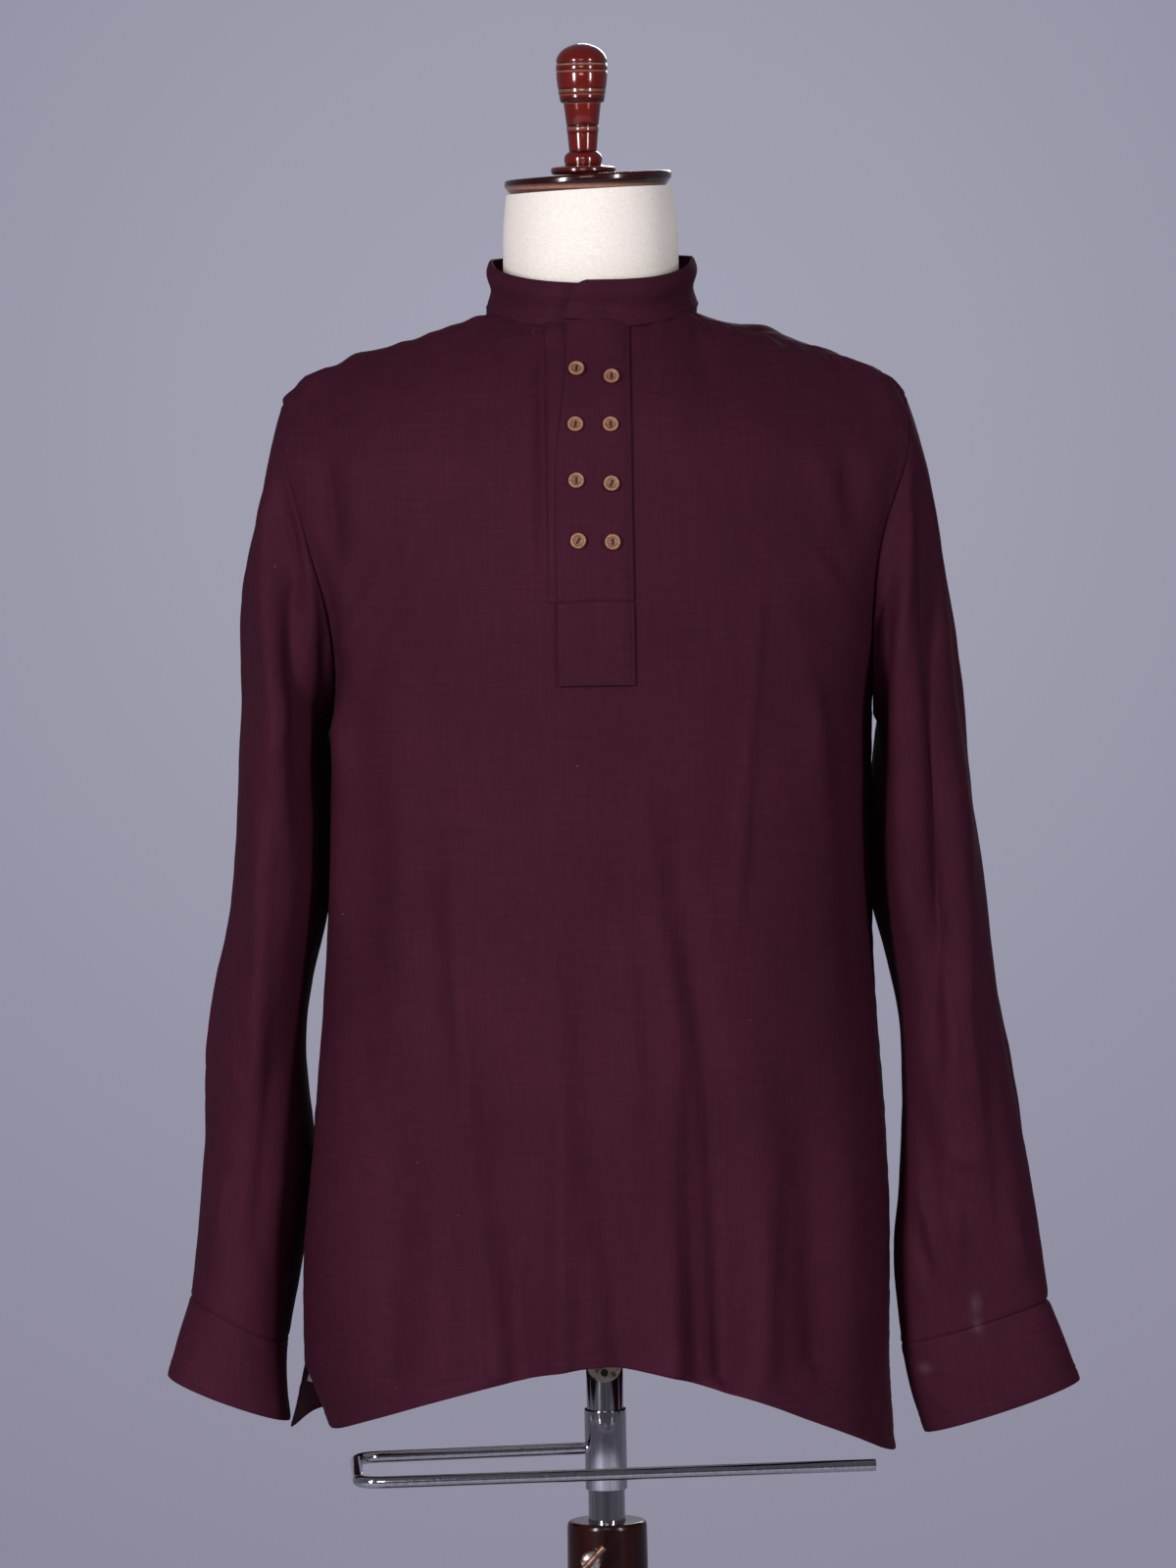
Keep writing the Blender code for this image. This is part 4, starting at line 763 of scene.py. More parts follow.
SLEEVE_CREASES = {
    "left": creases("front",
        (0.9, (-215, 1352, 7, 0), (-219, 1310, 8, 5.4), (-219, 1250, 8, 7),
         (-215, 1168, 9, 5.4), (-212, 1090, 8, 0)),
        (1.5, (-203, 1350, 7, 0), (-203, 1300, 7.2, -5.8), (-202, 1240, 7.2, -7.4),
         (-199, 1168, 7.2, -5.8), (-199, 1060, 8, 0)),
        (0.7, (-187, 1330, 6, 0), (-187, 1295, 7, 4.2), (-189, 1225, 7, 4.2),
         (-190, 1168, 6, 0)),
        (0.7, (-199, 1212, 7, 0), (-211, 1168, 8, 3.5), (-224, 1128, 7, 0)),
        (1.5, (-212, 1245, 6, 0), (-204, 1262, 6.3, -2.9), (-195, 1276, 6, 0)),
        (1.5, (-236, 1260, 8, 0), (-238, 1200, 8.1, -3.5), (-240, 1130, 8, 0)),
        (0.9, (-222, 1130, 9, 0), (-226, 1068, 8.1, 6), (-232, 968, 8.1, 4.8),
         (-238, 890, 9, 0)),
        (1.5, (-240, 1100, 9, 0), (-246, 1020, 8.1, -4.4), (-252, 930, 9, 0)),
        (1.5, (-215, 1000, 8, 0), (-222, 930, 7.3, -4), (-232, 850, 7.3, -4.4),
         (-238, 782, 8, 0)),
        (0.7, (-270, 902, 5, 0), (-262, 906, 4.5, 2.4), (-252, 910, 5, 0)),
        (1.5, (-272, 876, 5, 0), (-258, 866, 4.9, -2.4), (-242, 858, 5, 0)),
        (0.7, (-252, 890, 8, 0), (-258, 840, 7.2, 4), (-266, 785, 7, 0)),
    ) + creases("left",
        (0.8, (20, 1330, 8, 0), (10, 1260, 10, 4.8), (4, 1170, 10, 0)),
        (1.5, (-24, 1290, 8, 0), (-20, 1210, 8.1, -4.8), (-16, 1110, 9, 0)),
        (1.5, (44, 1280, 9, 0), (40, 1180, 9, -5.1), (30, 1060, 9, 0)),
        (0.7, (-8, 1060, 9, 0), (-2, 960, 9, 4.8), (-8, 850, 9, 0)),
        (1.5, (30, 1010, 9, 0), (26, 920, 7.3, -4.8), (18, 820, 8, 0)),
    ) + creases("back",
        (0.8, (-208, 1300, 8, 0), (-206, 1200, 10, 4.8), (-212, 1080, 9, 0)),
        (1.5, (-226, 1230, 8, 0), (-230, 1120, 8.1, -4.8), (-238, 1000, 9, 0)),
        (0.7, (-222, 1010, 9, 0), (-232, 920, 9, 4.4), (-244, 800, 9, 0)),
    ),
    "right": creases("front",
        (0.7, (212, 1368, 7, 0), (214, 1330, 8, 6.4), (214, 1295, 9, 9.6), (213, 1230, 9, 10.2),
         (211, 1168, 9, 9.6), (210, 1068, 8.1, 8), (214, 980, 8, 0)),
        (1.5, (226, 1345, 7, 0), (229, 1295, 8.1, -9.6), (230, 1230, 8.1, -12.8),
         (230, 1168, 9, -12.8), (230, 1068, 8.1, -14), (228, 968, 8.1, -7.2), (228, 900, 9, 0)),
        (0.7, (246, 1300, 9, 0), (248, 1220, 10, 5.4), (250, 1120, 10, 5.4),
         (252, 1040, 8.1, 3.2), (256, 960, 9, 0)),
        (1.5, (199, 1290, 6, 0), (198, 1230, 5.4, -5.8), (199, 1150, 5.4, -3.8),
         (202, 1100, 6, 0)),
        (0.7, (228, 1040, 9, 0), (238, 960, 9, 4.4), (246, 870, 9, 0)),
        (1.5, (262, 1030, 9, 0), (266, 950, 8.1, -4.4), (272, 860, 7.3, -3.2),
         (278, 790, 8, 0)),
        (1.5, (216, 940, 8, 0), (222, 870, 6.5, -4.4), (230, 800, 8, 0)),
        (0.7, (214, 850, 4, 0), (222, 826, 3.6, 3.2), (228, 790, 4, 0)),
        (1.5, (212, 830, 4, 0), (218, 800, 3.2, -3.2), (224, 766, 4, 0)),
        (0.7, (228, 880, 6, 0), (246, 868, 6.3, 2.8), (266, 860, 6, 0)),
        (1.5, (222, 850, 6, 0), (240, 838, 4.9, -2), (262, 828, 6, 0)),
        (0.7, (238, 860, 8, 0), (242, 815, 7.2, 4), (240, 765, 7, 0)),
        (0.7, (276, 860, 8, 0), (284, 810, 7.2, 3.2), (288, 775, 7, 0)),
    ) + creases("right",
        (0.8, (14, 1330, 8, 0), (8, 1250, 9, -4.8), (6, 1150, 10, 0)),
        (0.7, (-22, 1290, 8, 0), (-18, 1200, 9, 4.5), (-14, 1100, 9, 0)),
        (0.7, (42, 1290, 9, 0), (38, 1190, 10, 4.8), (30, 1070, 9, 0)),
        (1.5, (-4, 1060, 9, 0), (0, 960, 8.1, -4.8), (-6, 850, 9, 0)),
        (0.7, (28, 1010, 9, 0), (22, 920, 8.1, 4.8), (10, 820, 8, 0)),
    ) + creases("back",
        (0.8, (214, 1300, 8, 0), (216, 1200, 10, 4.8), (222, 1080, 9, 0)),
        (1.5, (236, 1230, 8, 0), (242, 1120, 8.1, -4.5), (250, 1000, 9, 0)),
        (0.7, (236, 1010, 9, 0), (246, 920, 9, 4.4), (254, 800, 9, 0)),
    ),
}
# For each facing: which coordinate places the crease, and the outward axis and its sign.
FACINGS = {"front": (0, 1, -1.0), "back": (0, 1, 1.0), "left": (1, 0, -1.0),
           "right": (1, 0, 1.0)}


def crease_height(points, normals, table):
    """Height of all the creases of a table at these points, in metres."""
    height = np.zeros(points.shape[:-1])
    for crease in table:
        axis, outward, sign = FACINGS[crease.facing]
        turned_to = smoothstep((normals[..., outward] * sign + 0.05) / 0.45)
        here = points[..., [axis, 2]] / MM
        knots = np.array(crease.knots, dtype=float)
        nearest = np.full(height.shape, np.inf)
        best = np.zeros(height.shape)
        for start, end in zip(knots[:-1], knots[1:]):
            run = end[:2] - start[:2]
            off = here - start[:2]
            share = np.clip(off @ run / (run @ run), 0.0, 1.0)
            gap = off - share[..., None] * run
            distance = np.linalg.norm(gap, axis=-1)
            side = np.where(off[..., 0] * run[1] - off[..., 1] * run[0] < 0, crease.steep, 1.0)
            width = (start[2] + (end[2] - start[2]) * share) * side
            tall = start[3] + (end[3] - start[3]) * smoothstep(share)
            closer = distance < nearest
            nearest = np.where(closer, distance, nearest)
            best = np.where(closer, tall * np.exp(-(distance / width)**2), best)
        height += best * turned_to * MM
    return height


# Waves in a metre sideways and upward, where the seed moves them, and the height in mm.
Wave = namedtuple("Wave", "sideways upward y_seed z_seed height")
WAVES = (Wave(22, 8, 1, 0, 1.5), Wave(70, 45, -1, 0, 0.45), Wave(190, 150, 0, 1, 0.12))


def rumple(points, seed):
    """Small unevenness that no crease table gives: long soft waves and short ones."""
    flat = points.reshape(-1, 3)
    waves = [np.array([noise.noise(Vector((x * wave.sideways,
                                           y * wave.sideways + seed * wave.y_seed,
                                           z * wave.upward + seed * wave.z_seed)))
                       for x, y, z in flat]) * wave.height for wave in WAVES]
    return (sum(waves) * MM).reshape(points.shape[:-1])


print("creases:", len(FRONT_CREASES), "on the front and", len(BACK_CREASES), "on the back")

# %% [markdown]
# ## From a flat grid to hanging cloth
# A panel is first a flat grid, as cloth on the cutting table. Its points are then moved to
# where the shape function puts them, and the flat position stays as the UV map, so that
# the threads run with the cloth. Seams pull a shallow groove with puckers, and a hem is a
# doubled strip with a stitched line. A Solidify modifier gives the cloth its thickness on
# the inner side.

# %% Cloth builder
CLOTH_THICKNESS = 0.0010
BAND_THICKNESS = 0.0016     # of the collar and the cuffs
EDGE_OFFSETS = (0.0005, 0.0010, 0.0016, 0.0024, 0.0034, 0.0048, 0.0066, 0.0090, 0.0108,
                0.0126)


def spread(low, high, count, length, fine_low=True, fine_high=True):
    """Even values from low to high, with extra ones near the ends. length is in metres."""
    per_metre = (high - low) / length
    close = np.array(EDGE_OFFSETS) * per_metre
    inner_low = low + (0.016 * per_metre if fine_low else 0.0)
    inner_high = high - (0.016 * per_metre if fine_high else 0.0)
    values = [np.linspace(inner_low, inner_high, count)]
    if fine_low:
        values += [[low], low + close]
    if fine_high:
        values += [[high], high - close]
    return np.sort(np.concatenate(values))


def lengths_along(points, axis):
    """Distance from the first row or column, along the cloth."""
    steps = np.linalg.norm(np.diff(points, axis=axis), axis=-1)
    start = np.zeros_like(np.take(steps, [0], axis=axis))
    return np.cumsum(np.concatenate([start, steps], axis=axis), axis=axis)


# A groove at the edge, and puckers: two sines along it (length, share and phase) that
# start a little way in and fade over `reach`. All in metres.
Seam = namedtuple("Seam", "depth pucker reach sines")
SEAMS = {"seam": Seam(0.00075, 0.00032, 0.010, ((0.0046, 0.5, 0.0), (0.0071, 0.5, 1.3))),
         "puckered": Seam(0.00080, 0.00095, 0.016, ((0.0058, 0.6, 0.0), (0.0093, 0.6, 0.7)))}
SEAM_WIDTH = 0.0012
PUCKER_START = 0.003
HEM_SINES = ((0.0042, 0.5, 0.0), (0.0067, 0.5, 0.4))
HEM_DEPTH = 0.0100         # the doubled strip, with its stitches just inside it
HEM_STEP = 0.00045
HEM_STITCHES = 0.0088


def bell(distance, width):
    return np.exp(-(distance / width)**2)


def edge_relief(kind, distance, along):
    """Height beside an edge: a seam's groove and puckers, or a hem's step and stitches."""
    seam = SEAMS.get(kind)
    pull = sum(np.sin(along / length * 2 + phase) * share
               for length, share, phase in (seam.sines if seam else HEM_SINES))
    if seam:
        return (-seam.depth * bell(distance, SEAM_WIDTH)
                + seam.pucker * pull * smoothstep(distance / PUCKER_START)
                * bell(distance, seam.reach))
    return (HEM_STEP * (1 - smoothstep((distance - HEM_DEPTH) / 0.0022))
            - 0.00050 * bell(distance - HEM_STITCHES, 0.0009)
            + 0.00028 * pull * bell(distance - 0.0085, 0.0060)
            - 0.00040 * bell(distance, 0.0009))


def relieved(points, normals, edges):
    """The grid with the relief of its edges added. edges maps an edge to its kind."""
    down, across = lengths_along(points, 0), lengths_along(points, 1)
    distances = {"top": (down, across), "bottom": (down[-1:] - down, across),
                 "left": (across, down), "right": (across[:, -1:] - across, down)}
    height = np.zeros(points.shape[:-1])
    for edge, kind in edges.items():
        height += edge_relief(kind, *distances[edge])
    return points + height[..., None] * normals


def cloth_piece(name, points, normals, material, edges=None, ring=False,
                thickness=CLOTH_THICKNESS, level=False):
    """A flat grid with a row for each row of points, moved onto them.

    level keeps the weft straight: its threads then follow the height of the points.
    """
    points = relieved(points, normals, edges or {})
    rows, columns = points.shape[:2]
    down, across = lengths_along(points, 0), lengths_along(points, 1)
    across = across - across[:, [columns // 2]]
    if level:
        down = points[0, 0, 2] - points[..., 2]
    bm = bmesh.new()
    bmesh.ops.create_grid(bm, x_segments=columns - 1, y_segments=rows - 1, size=0.5)
    places = [(round((0.5 - v.co.y) * (rows - 1)), round((v.co.x + 0.5) * (columns - 1)))
              for v in bm.verts]
    uv_layer = bm.loops.layers.uv.new("flat")
    for vert, place in zip(bm.verts, places):
        for loop in vert.link_loops:
            loop[uv_layer].uv = (across[place], -down[place])
        vert.co = points[place]
    bm.normal_update()
    facing = sum(vert.normal.dot(Vector(normals[place]))
                 for vert, place in zip(bm.verts, places))
    if facing < 0:
        bmesh.ops.reverse_faces(bm, faces=bm.faces[:])
    if ring:
        bmesh.ops.remove_doubles(bm, verts=bm.verts[:], dist=0.00002)
    item = new_item(name, bm, material)
    wall = item.modifiers.new("cloth thickness", "SOLIDIFY")
    wall.thickness = thickness
    wall.offset = -1.0
    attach(item, "form")
    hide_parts(name)
    print(name, "has", len(item.data.polygons), "faces")
    return item


# %% [markdown]
# The cloth is a plain weave of slub yarns, where a thread swells now and then. Two noise
# patterns, one stretched along the warp and one along the weft, give the slubs. They work
# on the flat UV map, whose unit is the metre, so a scale of 900 is one streak in about
# 1.1 mm. Broad noise keeps a large plain panel from looking painted. The yarns are matt,
# so the shader has almost no highlight.

# %% Wine cloth
def cloth_finish():
    material, tree, shader = new_finish("wine_slub_cloth", 0.80, Specular_IOR_Level=0.10)
    flat = add_node(tree, "ShaderNodeUVMap", {"uv_map": "flat"})
    streaks = []
    for scale in ((900, 60, 1), (55, 820, 1), (420, 24, 1), (26, 380, 1)):
        laid = add_node(tree, "ShaderNodeMapping", {"vector_type": "POINT"},
                        {"Vector": flat.outputs["UV"], "Scale": scale})
        streaks.append(add_node(tree, "ShaderNodeTexNoise", None,
                                {"Vector": laid.outputs["Vector"], "Scale": 1.0,
                                 "Detail": 1.0, "Roughness": 0.5}).outputs["Fac"])
    pairs = [add_node(tree, "ShaderNodeMath", {"operation": "ADD"}, {0: a, 1: b}).outputs[0]
             for a, b in zip(streaks[::2], streaks[1::2])]
    both = add_node(tree, "ShaderNodeMath", {"operation": "ADD"}, {0: pairs[0], 1: pairs[1]})
    yarn = add_node(tree, "ShaderNodeMath", {"operation": "MULTIPLY"},
                    {0: both.outputs[0], 1: 0.25})
    tone = add_node(tree, "ShaderNodeValToRGB", None, {"Fac": yarn.outputs[0]},
                    [(0.34, "#391323"), (0.68, "#47192c"), (0.50, "#3e1527")])
    fade, _ = noise_tone(tree, 7.0, 2.0, [(0.35, "#e9e6e8"), (0.65, "#ffffff")])
    toned = multiplied(tree, 1.0, tone.outputs["Color"], fade)
    linted = specked(tree, toned, 38.0, 0.011, "#9c8790")
    chalk = add_node(tree, "ShaderNodeAttribute", {"attribute_name": "chalk"})
    chalked = add_node(tree, "ShaderNodeMixRGB", None,
                       {"Fac": chalk.outputs["Fac"], "Color1": linted,
                        "Color2": linear("#8f7d88")})
    tree.links.new(chalked.outputs["Color"], shader.inputs["Base Color"])
    relief = add_node(tree, "ShaderNodeBump", None,
                      {"Height": yarn.outputs[0], "Strength": 0.18, "Distance": 0.0005})
    tree.links.new(relief.outputs["Normal"], shader.inputs["Normal"])
    return material


wine_cloth = cloth_finish()
print("cloth nodes:", len(wine_cloth.node_tree.nodes))

# %% [markdown]
# The front is one panel with the yoke seam and neckline at its top, an armhole and a side
# seam on each side, and a hem that rises a little at the side slits. Its columns stand
# closer at the seams, because the groove of a seam is narrow.

# %% Front
SEAM_FADE = 0.012         # creases fade out this far from a side seam, in metres
TOP_FADE_V = 0.02
FRONT_SEED, BACK_SEED = 3.0, 8.0


def creased(u, v, front, lift=0.0):
    """A panel with its creases, which fade out at the seams."""
    points, normals = sheet(u, v, front, lift)
    table, seed = (FRONT_CREASES, FRONT_SEED) if front else (BACK_CREASES, BACK_SEED)
    fade = smoothstep((1 - np.abs(u)) * SHEET_WIDTH / SEAM_FADE) * smoothstep(v / TOP_FADE_V)
    height = (crease_height(points, normals, table) + rumple(points, seed)) * fade
    return points + height[..., None] * normals, normals


PANEL_LENGTH = 0.75
PANEL_US = spread(-1.0, 1.0, 120, 0.60)
front_us, front_vs = np.meshgrid(PANEL_US, spread(0.0, 1.0, 200, PANEL_LENGTH))
front = cloth_piece("front", *creased(front_us, front_vs, True), wine_cloth,
                    {"top": "puckered", "left": "seam", "right": "seam", "bottom": "hem"},
                    level=True)

# %% [markdown]
# The back hangs from a yoke, which is a doubled piece over the shoulders. The yoke's
# seams gather a little where they cross the shoulder, and that makes the band's puckers.

# %% Yoke and back
YOKE_LENGTH = 0.11
yoke_us, yoke_vs = np.meshgrid(PANEL_US, spread(0.0, YOKE_V, 44, YOKE_LENGTH))
yoke = cloth_piece("yoke", *creased(yoke_us, yoke_vs, False), wine_cloth,
                   {"top": "puckered", "left": "puckered", "right": "puckered",
                    "bottom": "seam"})
back_us, back_vs = np.meshgrid(PANEL_US, spread(YOKE_V, 1.0, 170, 0.68))
back = cloth_piece("back", *creased(back_us, back_vs, False), wine_cloth,
                   {"top": "seam", "left": "seam", "right": "seam", "bottom": "hem"})

# %% [markdown]
# A sleeve is a tube that starts from the armhole of the front and the back. Its seam is
# under the arm, and the grid is closed there. The cuff is a short doubled band below it.

# %% Sleeves and cuffs
CHALK = {"left": (), "right": ((254, 767, 3, 7), (255, 752, 3, 5), (219, 722, 4, 3))}


def add_chalk(item, marks):
    """Worn chalk marks: x and z, and their half width and half height, all in mm."""
    mesh = item.data
    places = np.array([vert.co for vert in mesh.vertices]) / MM
    amount = np.zeros(len(places))
    for x, z, wide, tall in marks:
        blot = ((places[:, 0] - x) / wide)**2 + ((places[:, 2] - z) / tall)**2
        amount += 0.13 * np.exp(-blot) * (places[:, 1] < 0)
    layer = mesh.attributes.new("chalk", "FLOAT", "POINT")
    layer.data.foreach_set("value", amount.astype(np.float32))


def grid_normals(points, side):
    """Outward normals of a tube's grid whose last column repeats its first one."""
    found = tube_normals(points[:, :-1], side)
    return np.concatenate([found, found[:, :1]], axis=1)


def tube_waves(points, seed):
    """Unevenness of a tube's grid, which meets itself at the last column."""
    waves = rumple(points, seed)
    waves[:, -1] = waves[:, 0]
    return waves


SLEEVE_SEED, CUFF_SEED = 5.0, 6.0
CUFF_WAVES = 0.6           # a doubled band is stiffer than one layer


def build_sleeve(side):
    shares = np.linspace(0.0, 1.0, 97)
    ts = np.concatenate([spread(-1.0, 0.0, 52, 0.22, fine_high=False)[:-1],
                         spread(0.0, 1.0, 120, 0.40, fine_low=False)])
    grid_shares, grid_ts = np.meshgrid(shares, ts)
    points = sleeve_point(side, grid_shares, grid_ts)
    normals = grid_normals(points, side)
    fade = smoothstep((grid_ts + 1) / 0.10) * smoothstep((1 - grid_ts) / 0.03)
    height = (crease_height(points, normals, SLEEVE_CREASES[side])
              + tube_waves(points, SLEEVE_SEED))
    points = points + (height * fade)[..., None] * normals
    sleeve = cloth_piece(f"sleeve_{side}", points, normals, wine_cloth,
                         {"top": "seam", "bottom": "seam"}, ring=True)
    cuff_shares, cuff_ts = np.meshgrid(shares, spread(0.0, 1.0, 22, 0.062))
    points = tube(CUFFS[side], cuff_shares, cuff_ts)
    normals = grid_normals(points, side)
    waves = tube_waves(points, CUFF_SEED) * CUFF_WAVES
    points = points + (waves * smoothstep(cuff_ts / 0.1))[..., None] * normals
    cuff = cloth_piece(f"cuff_{side}", points, normals, wine_cloth,
                       {"top": "seam", "bottom": "hem"}, ring=True,
                       thickness=BAND_THICKNESS)
    for item in (sleeve, cuff):
        add_chalk(item, CHALK[side])
    return sleeve, cuff


sleeves = {side: build_sleeve(side) for side in ("left", "right")}

# %% [markdown]
# The front opens in a short placket. An under strip shows beside it, the upper strip
# carries the buttons, and a box of cloth closes the lower end. They are made from the
# front's own points, each moved out past the last, as they lie on one another.

# %% Placket
UNDER_LIFT = LAYER_GAP + CLOTH
OVER_LIFT = 2 * (LAYER_GAP + CLOTH)
EDGE_TURN = 0.0007         # how far a folded edge turns down
EDGE_TURN_WIDTH = 0.0012
SEWN_DROP = 0.0014         # the right edge of placket and box is sewn down to the front
SEWN_WIDTH = 0.009


def across_to_u(xs, v):
    """u of the points of the front that have these x at height v."""
    dense = np.linspace(-0.16, 0.16, 65)
    found = bare_sheet(dense, np.full_like(dense, v), True)[:, 0]
    return np.interp(xs, found, dense)


def strip(vs, left, right, lift, columns=40):
    """Grid of a strip of the front. left and right give its edges at v, in metres."""
    ends = spread(0.0, 1.0, columns, 0.05)
    us = np.array([across_to_u(left(v) + (right(v) - left(v)) * ends, v) for v in vs])
    return creased(us, np.broadcast_to(np.array(vs)[:, None], us.shape), True, lift)


def rounded_off(points, normals, sewn=0.0):
    """Turn down the long edges of a strip, by sewn more at the right edge if it is sewn."""
    across = lengths_along(points, 1)
    to_right = across[:, -1:] - across
    drop = EDGE_TURN * (1 - smoothstep(np.minimum(across, to_right) / EDGE_TURN_WIDTH))
    drop += sewn * (1 - smoothstep(to_right / SEWN_WIDTH))
    return points - drop[..., None] * normals


def build_placket():
    upper = spread(0.0, PLACKET_V, 90, 0.20)
    under, normals = strip(upper, lambda v: UNDER_PLACKET_LEFT, lambda v: -SLIT_HALF,
                           UNDER_LIFT, 16)
    pieces = [cloth_piece("placket_under", rounded_off(under, normals), normals,
                          wine_cloth, level=True)]
    over, normals = strip(upper, placket_edge, lambda v: PLACKET_RIGHT, OVER_LIFT)
    raised = overlap_raise(over[0, :, 0])
    fade = 1 - smoothstep(upper / 0.035)
    over[..., 2] += fade[:, None] * raised
    pieces.append(cloth_piece("placket", rounded_off(over, normals, SEWN_DROP), normals,
                              wine_cloth, {"bottom": "seam"}, level=True))
    lower = spread(PLACKET_V, BOX_V, 36, 0.055)
    box, normals = strip(lower, placket_edge, lambda v: PLACKET_RIGHT, OVER_LIFT)
    pieces.append(cloth_piece("placket_box", rounded_off(box, normals, SEWN_DROP), normals,
                              wine_cloth, {"top": "seam"}, level=True))
    return pieces


placket_under, placket, placket_box = build_placket()

# %% [markdown]
# The band collar stands on the neckline, and its end laps over past the middle of the
# front. Two layers and an interfacing make it stiffer, so it has few creases.

# %% Collar
OVERLAP_ROUNDING = 5.0    # degrees that the rounded corner takes off the upper end
OVERLAP_STEP = 0.0020     # the upper end stands higher, and the lower one sinks
OVERLAP_PEEL = 0.0034     # how far the upper end stands off
COLLAR_SEAT = 0.0006      # how far the foot stands outside the neckline


def collar_grid(alongs, shares):
    """Points of the collar, from its lower end (0) to its slanted upper end (1)."""
    along, grid_shares = np.meshgrid(alongs, shares)
    rounding = OVERLAP_ROUNDING * np.clip((grid_shares - 0.72) / 0.28, 0, 1)**3
    end = OVERLAP_END - OVERLAP_SLANT * grid_shares - rounding
    points, outward = collar_point(OVERLAP_START + (end - OVERLAP_START) * along, grid_shares)
    peel = OVERLAP_PEEL * smoothstep((along - 0.94) / 0.06)
    points = points + peel[..., None] * outward
    rise = (OVERLAP_STEP * smoothstep((along - 0.86) / 0.14)
            - OVERLAP_STEP * (1 - smoothstep(along / 0.10)))
    points[..., 2] += rise * np.clip(grid_shares, 0.0, 1.0)
    waves = rumple(points, 2.0) * 0.5 * smoothstep(grid_shares / 0.3)
    return points + waves[..., None] * outward, outward


def build_collar():
    # The foot reaches a little below the neckline, so that the seam shows no gap.
    alongs = spread(0.0, 1.0, 180, 0.50)
    shares = np.concatenate([[-0.07, -0.035], spread(0.0, 1.0, 18, COLLAR_HEIGHT)])
    points, outward = collar_grid(alongs, shares)
    points = points + (COLLAR_SEAT * np.clip(-shares / 0.07, 0, 1))[:, None, None] * outward
    rim = smoothstep((shares - 0.93) / 0.07)[:, None, None]
    points = points - (0.0006 * rim) * outward
    made = cloth_piece("collar", points, outward, wine_cloth, thickness=BAND_THICKNESS)
    return made


collar = build_collar()

# %% [markdown]
# ## Stitches
# A sewing machine leaves short threads that lie on the cloth and dip in at each end. Each
# is a small stretched ball, set on the same shape function as the cloth, and a whole line
# of them is joined into one mesh.

# %% Stitch lines
THREAD_RADIUS = 0.00024    # a common sewing thread
STITCH_LENGTH = 0.0023
STITCH_PITCH = 0.0030
STITCH_INSET = 0.0020     # of the placket's lines from its edges


def stitch_line(name, routes):
    """Stitches along routes, which are (points, normals) in metres, in one object."""
    bm = bmesh.new()
    for points, normals in routes:
        lengths = lengths_along(points, 0)
        count = max(int(lengths[-1] / STITCH_PITCH), 1)
        middles = (np.arange(count) + 0.5) / count * lengths[-1]
        ends = [middles - STITCH_LENGTH / 2, middles + STITCH_LENGTH / 2]
        tails, heads, up = [np.stack([np.interp(at, lengths, values[:, k]) for k in range(3)],
                                     axis=-1)
                            for at, values in ((ends[0], points), (ends[1], points),
                                               (middles, normals))]
        for tail, head, out in zip(tails, heads, up):
            along = Vector(head - tail)
            turn = along.to_track_quat("X", "Z").to_matrix().to_4x4()
            size = Matrix.Diagonal((along.length / 2 / THREAD_RADIUS, 1.0, 1.0, 1.0))
            middle = Vector((tail + head) / 2 + out * THREAD_RADIUS * 0.3)
            bmesh.ops.create_icosphere(bm, subdivisions=1, radius=THREAD_RADIUS,
                                       matrix=Matrix.Translation(middle) @ turn @ size)
    item = new_item(name, bm, thread, prefix="")
    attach(item, "form")
    print(name, "has", len(item.data.polygons) // 20, "stitches")
    return item


def on_front(xs, vs, lift):
    """Route on the front through the points with these x and v."""
    us = np.array([across_to_u(x, v) for x, v in zip(xs, vs)])
    return creased(us, np.array(vs), True, lift)


def level_line(v, low, high, lift):
    vs = np.full(24, v)
    return on_front(np.linspace(low, high, 24), vs, lift)


thread = new_finish("sewing_thread", 0.7, Base_Color=linear("#2c0f1a"))[0]
LINE_LEFT, LINE_RIGHT = PLACKET_LEFT + STITCH_INSET, PLACKET_RIGHT - STITCH_INSET
run = np.linspace(0.004, PLACKET_V, 90)
box_run = np.linspace(PLACKET_V + 0.002, BOX_V - 0.003, 24)
placket_seams = stitch_line("stitches_placket", [
    on_front(np.full(90, LINE_RIGHT), run, OVER_LIFT),
    on_front([placket_edge(v) + STITCH_INSET for v in run], run, OVER_LIFT),
    on_front(np.full(24, LINE_RIGHT), box_run, OVER_LIFT),
    on_front(np.full(24, LINE_LEFT), box_run, OVER_LIFT),
    level_line(BOX_V - 0.0035, LINE_LEFT, LINE_RIGHT, OVER_LIFT),
    level_line(PLACKET_V + 0.0035, LINE_LEFT, LINE_RIGHT, OVER_LIFT),
])
foot_line = collar_grid(np.linspace(0.01, 0.994, 300), [0.07])
end_line = collar_grid([0.9945], np.linspace(0.07, 0.97, 24))
rim_line = collar_grid(np.linspace(0.72, 0.99, 100), [0.95])
collar_seams = stitch_line("stitches_collar", [
    (foot_line[0][0], foot_line[1][0]), (end_line[0][:, 0], end_line[1][:, 0]),
    (rim_line[0][0], rim_line[1][0])])


def cuff_line(side, t):
    shares = np.linspace(0.0, 1.0, 200)
    points = tube(CUFFS[side], *np.meshgrid(shares, [t - 0.02, t, t + 0.02]))
    normals = tube_normals(points, side)
    waves = rumple(points, CUFF_SEED) * CUFF_WAVES
    points = points + waves[..., None] * normals
    return points[1], normals[1]


stitch_line("stitches_cuffs", [
    cuff_line(side, t) for side in ("left", "right") for t in (0.10, 0.86)])

